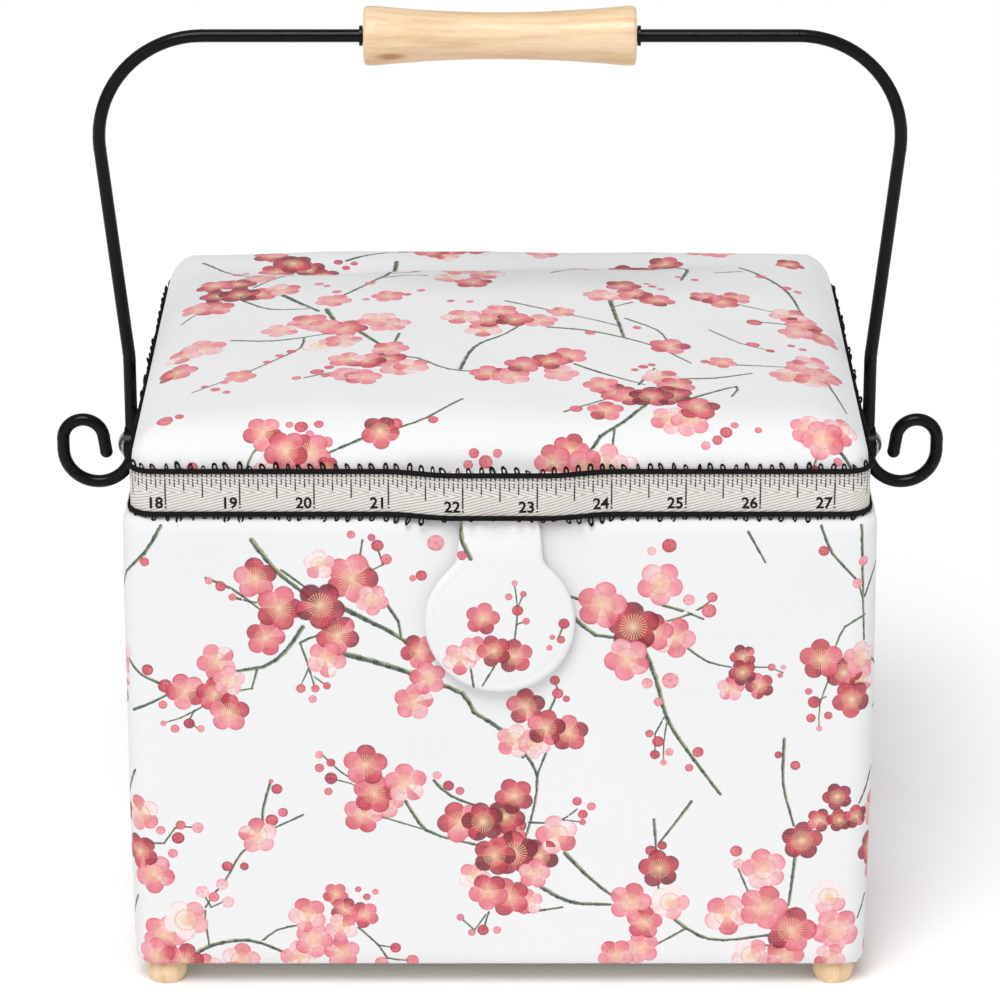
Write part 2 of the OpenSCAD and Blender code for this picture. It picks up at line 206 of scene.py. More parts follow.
def turned_wood(name, stretch, knot=None):
    """Pale wood whose grain is drawn out along one axis by stretch. knot is its middle."""
    knot_long, knot_high = 6.0, 1.7
    wood = Finish(name, Roughness=0.42, Coat_Weight=0.25, Coat_Roughness=0.3)
    at = wood.place(stretch)
    rings = wood.grain(at, 0.35, 4.0, 0.6)
    fibres = wood.grain(at, 2.6, 3.0, 0.65)
    tint = wood.mix(wood.soft(rings, 0.35, 0.7), (0.83, 0.63, 0.40), (0.70, 0.46, 0.25))
    tint = wood.mix(wood.soft(fibres, 0.5, 0.8) * 0.4, tint, (0.58, 0.36, 0.18))
    if knot:
        x, y, z = wood.parts(wood.place())
        off = (((x - knot[0]) / knot_long).power(2.0)
               + ((z - knot[2]) / knot_high).power(2.0)).root() + fibres * 0.5
        front = y < 0.0
        tint = wood.mix((1 - wood.soft(off, 0.5, 1.5)) * front * 0.85, tint, (0.42, 0.19, 0.05))
    wood.set(Base_Color=tint, Roughness=0.34 + fibres * 0.2)
    return wood.bump(fibres, 0.12)


dress(turned_wood("foot_wood", (1.0, 1.0, 0.15)), "foot_fl", "foot_fr", "foot_bl", "foot_br")
dress(turned_wood("grip_wood", (0.07, 1.0, 1.0), knot=(-38.5, 0, 315.6)), "handle_grip")
dress(turned_wood("ledge_wood", (0.07, 1.0, 1.0)), "ledge_front", "ledge_back")

# ---------------------------------------------------------------------------
# The bail is one thick wire under glossy black enamel. Its side plates and
# grip stops are enamelled with it, and the fixings are plated steel or brass.
enamel = Finish("black_enamel", Specular_IOR_Level=0.16)
ripple = enamel.grain(enamel.place(), 0.16, 3.0)
enamel.set(Base_Color=enamel.mix(ripple, (0.0016, 0.0016, 0.0018), (0.004, 0.004, 0.0046)),
           Roughness=0.14 + ripple * 0.2)
enamel.bump(ripple, 0.25, 0.0006)
dress(enamel, "handle_wire", "grip_stops", "side_plate_l", "side_plate_r")


def metal(name, light, dark, rough):
    """Plain metal with a faint brushed haze."""
    plate = Finish(name, Metallic=1.0)
    haze = plate.grain(plate.place((1, 1, 0.2)), 1.1, 4.0, 0.6)
    return plate.set(Base_Color=plate.mix(haze, light, dark), Roughness=rough + haze * 0.2)


dress(metal("plated_steel", (0.66, 0.66, 0.68), (0.5, 0.5, 0.52), 0.22), "foot_screws",
      "plate_screws", "pivot_rivet_l", "pivot_rivet_r", "hinge_pin_l", "hinge_pin_r",
      "catch_plate", "tab_magnet")
dress(metal("satin_brass", (0.72, 0.52, 0.24), (0.55, 0.38, 0.16), 0.28), "hinge_base_l",
      "hinge_base_r", "hinge_top_l", "hinge_top_r", "hinge_screws_box", "hinge_screws_lid")

# ---------------------------------------------------------------------------
# Inside: grey board behind the cloth, a plain cream cotton lining glued to
# it, and two moulded trays with a satin skin.
board = Finish("grey_board", Roughness=0.85)
pulp = board.grain(board.place(), 0.5, 5.0, 0.7)
board.set(Base_Color=board.mix(pulp, (0.42, 0.35, 0.26), (0.56, 0.48, 0.38))).bump(pulp, 0.2)
dress(board, "board_front", "board_back", "board_left", "board_right", "base_board",
      "lid_frame", "lid_board")


def weave(cloth, at, threads):
    """A plain weave's relief at a number of threads to the millimetre, per axis of at."""
    a, b, c = cloth.parts(at)
    turn = 2 * math.pi * threads
    return ((a * turn).sin() * (b * turn).sin() + (b * turn).sin() * (c * turn).sin()
            + (a * turn).sin() * (c * turn).sin()) * 0.5 + 0.5


plain = Finish("cream_lining", Roughness=0.9, Sheen_Weight=0.2, Sheen_Roughness=0.5)
slub = plain.grain(plain.place((1, 1, 0.1)), 1.5, 3.0)
plain.set(Base_Color=plain.mix(slub, (0.80, 0.75, 0.66), (0.88, 0.84, 0.76)))
plain.bump(weave(plain, plain.place(), 1.1) + slub * 0.6, 0.3)
dress(plain, "body_lining", "lid_lining", "base_cloth", "tab_anchor")

moulded = Finish("tray_plastic", Roughness=0.35, Subsurface_Weight=0.1)
flow = moulded.grain(moulded.place(), 0.04, 3.0)
speck = moulded.grain(moulded.place(), 3.0, 2.0)
moulded.set(Base_Color=moulded.mix(flow, (0.84, 0.81, 0.75), (0.90, 0.88, 0.83)),
            Roughness=0.3 + speck * 0.18).bump(speck, 0.06)
dress(moulded, "tray_left", "tray_right", "tray_right_divider")

# ---------------------------------------------------------------------------
# The cover cloth: white cotton printed with blossom sprays in a repeat of
# 260 by 180 mm. Blooms and buds are (across, up, radius, depth of colour),
# twigs are runs of points with a half width. Sizes are millimetres.
REPEAT = (260.0, 180.0)
BLOOM_SPREAD = 1.18
SLOTS, TWIG_SLOTS = 6, 3
blooms = [
    # the large spray at the upper left, and the one beside it
    (-62, 147, 7.6, 1.0), (-76, 146, 7.2, .7), (-84, 157, 6.6, .6), (-51, 157, 8, .62),
    (-62, 162, 4.8, .12), (-56, 136, 6.6, .8), (-44, 149, 5, .2), (-81, 135, 6, .55),
    (-60, 127, 6, .25), (-98, 126, 6, .25), (-109, 115, 6, .62), (-99, 114, 5.6, .78),
    (-94, 119, 5, .2), (-94, 107, 6.2, .6), (-28, 130, 5.6, .6), (-25, 120, 5.6, .5),
    (-30, 111, 6, .25),
    # the spray left of the middle
    (-47, 87, 6.8, .7), (-44, 76, 6.6, .7), (-33, 80, 6.6, .25), (-40, 73, 5.6, .3),
    (-48, 68, 6.2, .62),
    # the dark spray in the middle
    (-14, 65, 7, .6), (-6, 65, 6.6, .92), (5, 75, 6, .78), (2, 67, 6, 1.0), (4, 62, 5, .6),
    (20, 60, 6.6, .3), (5, 53, 7.6, 1.0), (-2, 52, 6.6, .9), (14, 52, 6, .9), (12, 45, 5, .4),
    (-9, 44, 5, .1), (3, 36, 6.6, .7), (-4, 38, 6.2, .6), (10, 34, 4.5, .3),
    # under the tab
    (9, 109, 6, .8), (16, 101, 6, .8), (24, 99, 6, .66), (5, 96, 5.6, .3), (12, 95, 5, .2),
    # the light spray at the upper right
    (55, 155, 7, .4), (35, 147, 7.6, .5), (42, 144, 4, .6), (46, 139, 8, .85), (53, 137, 6, .7),
    (60, 135, 6.6, .32), (44, 127, 7, .42), (84, 128, 4, .8), (84, 122, 4.3, .85),
    (90, 117, 4.4, .8), (80, 116, 4.2, .35), (111, 127, 6.6, .7), (119, 122, 5.6, .85),
    (125, 127, 5.6, .2), (122, 112, 6, .78), (125, 119, 5, .25),
    # coral blooms at the right
    (118, 75, 4.6, .85), (112, 66, 4, .8), (119, 66, 4, .85), (125, 67, 4, .8),
    (106, 58, 6.4, .85), (56, 47, 6.4, .85),
    # the lower edge
    (93, 47, 7, .15), (93, 32, 7.6, .5), (80, 29, 7, .3), (103, 23, 8, .66), (119, 23, 7.6, .4),
    (116, 36, 6, .04), (89, 13, 6, .04), (101, 13, 6, .5), (117, 12, 5, .3), (46, 34, 6.6, .5),
    (51, 26, 5.6, .55), (60, 34, 6, .04), (50, 16, 5.6, .4), (41, 13, 5.6, .45),
    (-68, 29, 6, .35), (-58, 37, 4, .72), (-55, 31, 4.3, .82), (-48, 29, 4.6, .7),
    (-56, 24, 5, .3), (-66, 19, 6, .4), (-71, 12, 6, .08), (-56, 14, 5.6, .5),
    (-111, 27, 7, .04), (-119, 21, 7, .5), (-122, 13, 6, .5), (-112, 11, 6, .6),
    (-92, 11, 6, .3), (-104, 8, 5, .3),
    # the left edge
    (-126, 68, 6, .3), (-127, 53, 6, .88), (-122, 45, 6.6, .5), (-85, 60, 6, .33),
]
buds = [
    (-96, 154, 1.9, .7), (-100, 156, 1.4, .4), (-92, 150, 1.4, .6), (-51, 173, 1.5, .5),
    (-44, 172, 1.4, .6), (-42, 169, 2.2, .8), (-39, 164, 2, .5), (-69, 116, 1.7, .6),
    (-64, 116, 1.5, .6), (-60, 117, 1.4, .6), (-65, 112, 1.5, .4), (-122, 123, 2.1, .7),
    (-116, 117, 2.6, .8), (-117, 110, 1.6, .5), (-113, 101, 1.6, .5), (-108, 103, 2, .8),
    (-104, 101, 1.4, .4), (-117, 103, 1.1, .4), (-27, 158, 2, .7), (-30, 157, 1.2, .5),
    (-22, 170, 3, .3), (-63, 91, 1.5, .4), (-63, 86, 1.7, .6), (-59, 88, 1.6, .7),
    (-59, 82, 2.3, .8), (-60, 77, 1.5, .5), (-22, 83, 1.6, .3), (-18, 79, 2, .8),
    (-14, 77, 1.6, .6), (-14, 28, 1.4, .5), (-10, 22, 1.4, .5), (-6, 23, 2.1, .8),
    (-1, 23, 1.5, .4), (-119, 62, 1.7, .4), (-112, 64, 1.8, .6), (-106, 63, 2.1, .3),
    (-113, 59, 2.3, .8), (-115, 53, 1.8, .4), (-78, 78, 2, .8), (-80, 81, .9, .5),
    (-76, 69, 1.8, .7), (-80, 66, 2.3, .8), (-96, 48, 2, .8), (-90, 48, 1.6, .8),
    (-105, 38, 2.4, .15), (-98, 41, 2.2, .15), (-101, 36, 2, .5), (-96, 34, 2.2, .15),
    (-50, 39, 1.2, .5), (-44, 38, 1.2, .4), (-47, 36, 1.4, .7), (-37, 16, 2, .8),
    (-31, 11, 2.3, .5), (-42, 10, 2.5, .4), (65, 149, 2.1, .3), (73, 150, 1.9, .6),
    (72, 145, 2.6, .6), (59, 119, 3, .3), (51, 118, 2, .3), (55, 111, 1.7, .4),
    (52, 99, 1.5, .7), (55, 96, 2.1, .8), (54, 91, 1.8, .7), (59, 92, 1.5, .4),
    (57, 88, 1.2, .3), (69, 92, 2, .7), (66, 86, 1.5, .6), (94, 124, 1.4, .6),
    (98, 124, 1, .3), (97, 121, 1, .5), (109, 111, 2.3, .8), (108, 105, 1.7, .6),
    (114, 106, 1.5, .7), (107, 115, 1.3, .5), (111, 101, 1.1, .3), (111, 167, 1.9, .7),
    (123, 155, 1.9, .35), (125, 163, 1.9, .35), (58, 169, 2.6, .7), (52, 167, 1.6, .2),
    (20, 114, 2, .7), (19, 119, 1.8, .7), (23, 112, 1.3, .7), (27, 73, 1.7, .7),
    (32, 71, 1.6, .5), (29, 68, 1.8, .7), (29, 65, 1.2, .7), (53, 54, 2, .85),
    (57, 56, 1.7, .85), (97, 91, 1.4, .8), (103, 87, 1.8, .8), (83, 54, 2.2, .6),
    (84, 49, 2, .2), (-122, 163, 1.7, .7),
]
twigs = [
    (.75, [(-85, 171), (-77, 160), (-68, 152), (-61, 146)]),
    (.4, [(-75, 160), (-66, 153)]),
    (.45, [(-101, 157), (-92, 153), (-82, 145)]),
    (.4, [(-92, 150), (-84, 148)]),
    (.8, [(-54, 146), (-43, 140), (-33, 134), (-28, 126)]),
    (.5, [(-40, 149), (-35, 141), (-34, 135)]),
    (.65, [(-68, 139), (-74, 130), (-82, 124), (-94, 122), (-104, 115)]),
    (.4, [(-62, 136), (-69, 133), (-67, 127), (-64, 116)]),
    (.25, [(-66, 124), (-69, 117)]),
    (.25, [(-65, 121), (-60, 117)]),
    (.85, [(-54, 129), (-43, 126), (-29, 121), (-13, 114), (-9, 107), (1, 100), (8, 90)]),
    (.35, [(-47, 171), (-48, 165), (-44, 160)]),
    (.3, [(-42, 168), (-40, 162), (-44, 160)]),
    (.5, [(-130, 126), (-124, 121), (-113, 116)]),
    (.45, [(-128, 107), (-115, 114)]),
    (.28, [(-102, 110), (-111, 105), (-117, 103)]),
    (.28, [(-106, 108), (-108, 104), (-105, 101)]),
    (.35, [(-84, 123), (-86, 116), (-92, 115)]),
    (.55, [(-116, 176), (-122, 166), (-130, 158), (-134, 150)]),
    (.55, [(-33, 73), (-26, 62), (-15, 58), (-3, 55)]),
    (.35, [(-44, 68), (-35, 65), (-26, 62)]),
    (.28, [(-62, 91), (-55, 84), (-46, 78)]),
    (.25, [(-60, 82), (-52, 80), (-46, 76)]),
    (.5, [(-23, 81), (-17, 75), (-5, 70)]),
    (.3, [(-14, 28), (-9, 23), (-5, 29)]),
    (.28, [(-6, 23), (-4, 30)]),
    (.45, [(-80, 81), (-83, 70), (-84, 60), (-91, 53), (-97, 42), (-104, 32), (-103, 17)]),
    (.35, [(-69, 68), (-77, 64), (-83, 61)]),
    (.3, [(-105, 38), (-102, 32), (-96, 35)]),
    (.65, [(-109, 13), (-102, 17), (-89, 19), (-76, 14)]),
    (.4, [(-85, 18), (-79, 23), (-71, 25)]),
    (.35, [(-50, 24), (-43, 17), (-40, 12), (-31, 11)]),
    (.25, [(-43, 17), (-37, 16)]),
    (.35, [(-126, 58), (-118, 57), (-114, 63), (-106, 63)]),
    (.7, [(50, 130), (54, 120), (58, 105), (65, 93), (77, 76)]),
    (.45, [(22, 151), (31, 148)]),
    (.65, [(25, 143), (33, 136), (40, 135)]),
    (.45, [(56, 147), (63, 145), (70, 142)]),
    (.35, [(57, 141), (66, 144), (73, 149)]),
    (.38, [(65, 131), (72, 126), (80, 124)]),
    (.28, [(57, 105), (54, 99), (54, 92)]),
    (.28, [(58, 103), (57, 95), (57, 88)]),
    (.25, [(87, 124), (93, 124), (98, 122)]),
    (.25, [(114, 120), (111, 110), (111, 101)]),
    (.25, [(113, 113), (109, 111)]),
    (.45, [(110, 176), (114, 166), (122, 157), (125, 150)]),
    (.5, [(124, 176), (125, 155), (126, 134)]),
    (.38, [(126, 143), (119, 139), (116, 132)]),
    (.4, [(85, 174), (91, 163)]),
    (.35, [(17, 107), (20, 115), (19, 119)]),
    (.5, [(9, 91), (13, 83), (12, 71), (9, 59)]),
    (.35, [(17, 94), (13, 83)]),
    (.35, [(10, 65), (20, 65), (27, 70)]),
    (.28, [(21, 66), (29, 65)]),
    (.65, [(23, 53), (32, 43), (39, 37)]),
    (.7, [(8, 45), (16, 39), (25, 34), (39, 33)]),
    (.4, [(10, 30), (22, 32)]),
    (.45, [(54, 66), (55, 54), (56, 39)]),
    (.45, [(67, 73), (61, 64), (56, 57)]),
    (.55, [(62, 27), (70, 21), (79, 19), (95, 21)]),
    (.4, [(65, 23), (55, 17)]),
    (.4, [(84, 12), (88, 17), (95, 17)]),
    (.5, [(99, 97), (99, 80), (103, 64)]),
    (.45, [(132, 84), (126, 72)]),
    (.35, [(84, 47), (88, 37)]),
    (.55, [(104, 54), (102, 33)]),
    (.4, [(131, 35), (127, 27)]),
]


def smooth_run(points, step=5.0):
    """A Catmull-Rom curve through the points, cut into short straight pieces."""
    p = [np.array(q, float) for q in points]
    p = [2 * p[0] - p[1]] + p + [2 * p[-1] - p[-2]]
    out = [p[1]]
    for a, b, c, d in zip(p, p[1:], p[2:], p[3:]):
        count = max(1, round(float(np.linalg.norm(c - b)) / step))
        for k in range(1, count + 1):
            t = k / count
            out.append(0.5 * (2 * b + (c - a) * t + (2 * a - 5 * b + 4 * c - d) * t * t
                              + (3 * b - a - 3 * c + d) * t ** 3))
    return out


def print_on(mesh, flat, blooms=blooms, buds=buds, twigs=twigs, repeat=REPEAT):
    """Stores on every face corner where it lies in each bloom, bud and twig that touches its
    face, for the nearest SLOTS spots and TWIG_SLOTS stretches of twig. flat gives each corner's
    place on the flat cloth, in millimetres."""
    spots = [(x, z, r * BLOOM_SPREAD, c, (x * 1.7 + z * 2.3) % 6.28, 0) for x, z, r, c in blooms]
    spots += [(x, z, r, c, x * 0.9 % 6.28, 2) for x, z, r, c in buds]
    spots = np.array(spots)
    bits = []
    for half, run in twigs:
        pts = smooth_run(run)
        for i, (a, b) in enumerate(zip(pts, pts[1:])):
            bits.append((*a, *b, half * (1.25 - 0.5 * i / len(pts))))
    bits = np.array(bits)
    starts = np.array([p.loop_start for p in mesh.polygons])
    counts = np.array([p.loop_total for p in mesh.polygons])
    face_of = np.repeat(np.arange(len(starts)), counts)
    mid = np.add.reduceat(flat, starts) / counts[:, None]
    off = flat - mid[face_of]
    reach = np.maximum.reduceat(np.linalg.norm(off, axis=1), starts)
    tile = np.array(repeat)

    def keep(need, how_many, order):
        """The nearest few for each face, listed in printing order."""
        best = np.argsort(need, axis=1)[:, :how_many]
        rank = np.take_along_axis(np.broadcast_to(order, need.shape), best, 1)
        best = np.take_along_axis(best, np.argsort(rank, axis=1), 1)
        return best, np.take_along_axis(need, best, 1) < 0

    def wrapped(delta):
        return delta - tile * np.round(delta / tile)

    gap = wrapped(mid[:, None] - spots[None, :, :2])
    need = np.linalg.norm(gap, axis=2) - spots[None, :, 2] * 1.08 - reach[:, None]
    order = np.where(spots[:, 5] > 1, -1e3, 0) + ((spots[:, 0] * 7 + spots[:, 1] * 3) % 11)
    best, used = keep(need, SLOTS, order)
    for k in range(SLOTS):
        s = spots[best[:, k]][face_of]
        g = np.take_along_axis(gap, best[:, k][:, None, None].repeat(2, 2), 1)[:, 0][face_of] + off
        c, n = np.cos(s[:, 4]), np.sin(s[:, 4])
        v = np.stack([(g[:, 0] * c + g[:, 1] * n) / s[:, 2],
                      (g[:, 1] * c - g[:, 0] * n) / s[:, 2], s[:, 3] + s[:, 5]], 1)
        v[~used[:, k][face_of]] = (9, 9, 0)
        mesh.attributes.new(f"bloom_{k}", "FLOAT_VECTOR", "CORNER").data.foreach_set(
            "vector", v.astype(np.float32).ravel())
    a, b, half = bits[:, :2], bits[:, 2:4], bits[:, 4]
    length = np.linalg.norm(b - a, axis=1)
    way = (b - a) / length[:, None]
    gap = wrapped(mid[:, None] - (a + b)[None] / 2) + ((b - a) / 2)[None]
    along = np.clip((gap * way[None]).sum(2), 0, length[None])
    need = np.linalg.norm(gap - along[..., None] * way[None], axis=2) - half * 1.5 - reach[:, None]
    best, used = keep(need, TWIG_SLOTS, -half)
    for k in range(TWIG_SLOTS):
        i = best[:, k][face_of]
        g = np.take_along_axis(gap, best[:, k][:, None, None].repeat(2, 2), 1)[:, 0][face_of] + off
        u = (g * way[i]).sum(1) / half[i]
        w = (g[:, 1] * way[i][:, 0] - g[:, 0] * way[i][:, 1]) / half[i]
        v = np.stack([u, w, length[i] / half[i]], 1)
        v[~used[:, k][face_of]] = (-99, 99, 1)
        mesh.attributes.new(f"twig_{k}", "FLOAT_VECTOR", "CORNER").data.foreach_set(
            "vector", v.astype(np.float32).ravel())


def printed_cotton():
    """White cotton in a fine plain weave, with the blossom print in watercolour inks."""
    fifth = 2 * math.pi / 5
    cloth = Finish("blossom_cotton", Roughness=0.85, Sheen_Weight=0.15, Sheen_Roughness=0.4)
    at = cloth.place()
    bleed = cloth.grain(at, 0.55, 3.0, 0.6)
    pool = cloth.grain(at, 0.16, 2.0)
    tint = cloth.mix(cloth.grain(at, 0.012, 2.0), (0.735, 0.742, 0.745), (0.785, 0.788, 0.79))
    for k in range(TWIG_SLOTS):
        u, w, length = cloth.parts(cloth.node("Attribute", {"attribute_name": f"twig_{k}"}, out=1))
        past = (0 - u).most(u - length).most(0.0)
        edge = (past * past + w * w).root() + (bleed - 0.5) * 1.3
        ink = cloth.mix(cloth.soft(w + (pool - 0.5) * 2.4, -0.1, 1.0),
                        (0.022, 0.05, 0.036), (0.34, 0.37, 0.17))
        tint = cloth.mix((1 - cloth.soft(edge, 0.75, 1.25)) * 0.92, tint, ink)
    for k in range(SLOTS):
        x, y, code = cloth.parts(cloth.node("Attribute", {"attribute_name": f"bloom_{k}"}, out=1))
        bud = code > 1.5
        depth = code - bud * 2
        r = (x * x + y * y).root()
        angle = cloth.node("Math", {"operation": "ARCTAN2"}, [y, x]) / fifth
        petal = angle.floor()
        turn = (angle - petal - 0.5) * fifth
        px, py = r * turn.cos() - 0.55, r * turn.sin()
        out = (px * px + py * py).root() / 0.44
        out = out + (bleed - 0.5) * 0.12
        own = ((petal * 12.99 + code * 78.2).sin() * 43758.5).fract()
        inside = 1 - cloth.soft(out.least(r / 0.35), 0.93, 1.04)
        round_bud = 1 - cloth.soft(r + (bleed - 0.5) * 0.1, 0.9, 1.05)
        mask = inside + (round_bud - inside) * bud
        strength = (0.04 + depth * 0.72 + (own - 0.5) * (1 - bud) * 0.5 + (pool - 0.5) * 0.6
                    + depth * r * 0.22)
        strength = (strength + cloth.soft(out, 0.72, 1.0) * 0.16
                    - cloth.soft(turn.abs(), 0.45, 0.62) * (1 - bud) * 0.12)
        ink = cloth.node("ValToRGB", {"stops": [
            (0.0, (0.83, 0.72, 0.71)), (1.0, (0.17, 0.004, 0.018)), (0.15, (0.80, 0.48, 0.50)),
            (0.4, (0.75, 0.22, 0.27)), (0.7, (0.55, 0.055, 0.085))]}, [strength])
        spoke = ((turn * 5 / 3.1416 * 2.5).fract() - 0.5).abs() * r * 0.5  # stamens
        hairs = (spoke < 0.035) * (r < 0.5) * (r > 0.08)
        heart = (1 - cloth.soft(r, 0.05, 0.22)).most(hairs * 0.75)
        tips = (spoke < 0.06) * (r > 0.44) * (r < 0.52)
        ink = cloth.mix(heart * (1 - bud) * 0.9, ink, (0.80, 0.56, 0.33))
        ink = cloth.mix(tips * (1 - bud) * 0.8, ink, (0.62, 0.27, 0.07))
        tint = cloth.mix(mask * 0.95, tint, ink)
    thread = weave(cloth, at, 0.9)
    cloth.set(Base_Color=cloth.mix(thread * 0.05, tint, (0.62, 0.63, 0.64)))
    return cloth.bump(thread + cloth.grain(at, 0.8, 3.0) * 0.8, 0.22, 0.00015)


cotton = printed_cotton()

# ---------------------------------------------------------------------------
# The box cover: cotton over thin wadding, drawn round the four walls, rolled
# over the rim and turned under at the base. Its section is swept round.
mm = 0.001
width, depth, corner, underside, cover_thick = 260.0, 210.0, 9.0, 9.0, 3.0


def way_round(w, d, r, step, corner_steps=7):
    """Points, outward directions and running lengths round a rounded rectangle. It starts at the
    middle of the back and goes clockwise seen from above. The front's middle is at length 0."""
    legs = [((w / 2 - r, d / 2 - r), 90, 0), ((w / 2 - r, -d / 2 + r), 0, -90),
            ((-w / 2 + r, -d / 2 + r), -90, -180), ((-w / 2 + r, d / 2 - r), -180, -270)]
    pts, outs = [], []

    def straight(a, b, n):
        count = max(2, round(math.dist(a, b) / step))
        for k in range(count):
            pts.append((a[0] + (b[0] - a[0]) * k / count, a[1] + (b[1] - a[1]) * k / count))
            outs.append(n)

    last = (0.0, d / 2)
    for (cx, cy), a0, a1 in legs:
        n0 = (math.cos(math.radians(a0)), math.sin(math.radians(a0)))
        start = (cx + r * n0[0], cy + r * n0[1])
        straight(last, start, n0)
        for k in range(corner_steps):
            a = math.radians(a0 + (a1 - a0) * k / corner_steps)
            pts.append((cx + r * math.cos(a), cy + r * math.sin(a)))
            outs.append((math.cos(a), math.sin(a)))
        a = math.radians(a1)
        last = (cx + r * math.cos(a), cy + r * math.sin(a))
    straight(last, (0.0, d / 2), (0.0, 1.0))
    pts, outs = np.array(pts), np.array(outs)
    steps = np.linalg.norm(np.roll(pts, -1, 0) - pts, axis=1)
    run = np.concatenate([[0], np.cumsum(steps)])
    return pts, outs, run - run[-1] / 2


def swept(name, w, d, r, section, step, swell):
    """A closed section (outward, up) swept round a rounded rectangle. swell(along, up, outward)
    pushes a point outwards. Returns the object and each face corner's place along the way, to
    the right seen from outside, and up the section."""
    pts, outs, run = way_round(w, d, r, step)
    run = -run
    n, m = len(pts), len(section)
    verts, faces, flat = [], [], []
    for i in range(n):
        for k, (o, z) in enumerate(section):
            o = o + swell(run[i], z, o)
            x, y = pts[i] + outs[i] * o
            verts.append((mm * x, mm * y, mm * z))
    for i in range(n):
        j = (i + 1) % n
        for k in range(m):
            up = (k + 1) % m
            quad = [(i, k, run[i]), (j, k, run[i + 1]), (j, up, run[i + 1]), (i, up, run[i])]
            faces.append([place * m + level for place, level, along in quad])
            flat += [(along, section[level][1]) for place, level, along in quad]
    mesh = bpy.data.meshes.new(name)
    mesh.from_pydata(verts, [], faces)
    ob = bpy.data.objects.new(name, mesh)
    bpy.context.scene.collection.objects.link(ob)
    return ob, np.array(flat, float)


def shade_smooth(ob):
    """Rounds the shading over a piece's faces, as cloth needs."""
    ob.data.polygons.foreach_set("use_smooth", [True] * len(ob.data.polygons))


def wander(x, z, seed):
    """A slow even wobble, for cloth that isn't quite flat."""
    return (math.sin(x * 0.031 + seed) * math.sin(z * 0.027 + seed * 2)
            + 0.5 * math.sin(x * 0.083 + seed * 3) * math.sin(z * 0.061 + seed))


def wall_swell(s, z, o):
    """The wadding's fullness, most half way up the wall and none on the inner side."""
    if o < -2.5:
        return 0.0
    fullness = math.sin(math.pi * min(max((z - underside) / 170, 0), 1))
    return 0.35 * wander(s, z, 1.3) * fullness - 0.3 + 0.5 * fullness


wall_low, wall_high, wall_steps = 10.6, 173.5, 40
outer = [(-cover_thick, underside + 0.2), (-1.6, 9.05), (-0.6, 9.5), (0, wall_low)]
outer += [(0, wall_low + (wall_high - wall_low) * k / wall_steps)
          for k in range(1, wall_steps + 1)]
outer += [(-4 + 4 * math.cos(a), 174.6 + 4.2 * math.sin(a)) for a in (0.35, 0.75, 1.15, 1.55)]
outer += [(-5.6, 178.8), (-5.9, 178.2), (-5.9, 176.2), (-3.05, 176.1), (-3.05, 90)]
cover, flat = swept("box_cover", width, depth, corner, outer, 4.0, wall_swell)
print_on(cover.data, flat)
cover.data.materials.append(cotton.mat)
shade_smooth(cover)
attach(cover, "box")
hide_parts("body_cover")

# ---------------------------------------------------------------------------
# The lid cushion: the same cotton over a thick wad, full along its edges and
# rising to a low crown, with a soft crease near the back where it is drawn in.
lid_w, lid_d, band_low, band_top = 254.0, 206.0, 179.5, 195.5
cushion_a, cushion_b = lid_w / 2 - 0.6, lid_d / 2 - 0.6


def crown_height(x, y):
    """The cushion's height above the band: a full roll along the edges, a low crown in the
    middle, a little more wad at the back, and the soft crease across it."""
    a, b, r, roll, fullness = cushion_a, cushion_b, 9.0, 20.0, 2.3
    qx, qy = abs(x) - (a - r), abs(y) - (b - r)
    inside = r - math.hypot(max(qx, 0), max(qy, 0)) if max(qx, qy) > 0 else r - max(qx, qy)
    e = min(max(inside, 0) / roll, 1.0)
    edge = (1 - (1 - e) ** fullness) ** (1 / fullness)
    crown = (1 - (x / a) ** 2) * (1 - (y / b) ** 2)
    crease_y, crease_half = 69 + 3 * math.sin(x * 0.02), 9.5
    crease = 4.4 * math.exp(-((y - crease_y) / crease_half) ** 2)
    crease *= math.exp(-((x + 10) / 88) ** 4)
    wad = 15.0 + 1.6 * (y > 0) * min(y / 60, 1)
    return wad * edge + 7.6 * crown - crease + 0.5 * wander(x * 1.3, y * 1.2, 0.7) * e


def edge_ring(nx, ny):
    """The points round the edge of a grid of nx by ny, in order."""
    return ([i for i in range(nx)] + [j * nx + nx - 1 for j in range(1, ny)]
            + [(ny - 1) * nx + i for i in range(nx - 2, -1, -1)]
            + [j * nx for j in range(ny - 2, 0, -1)])


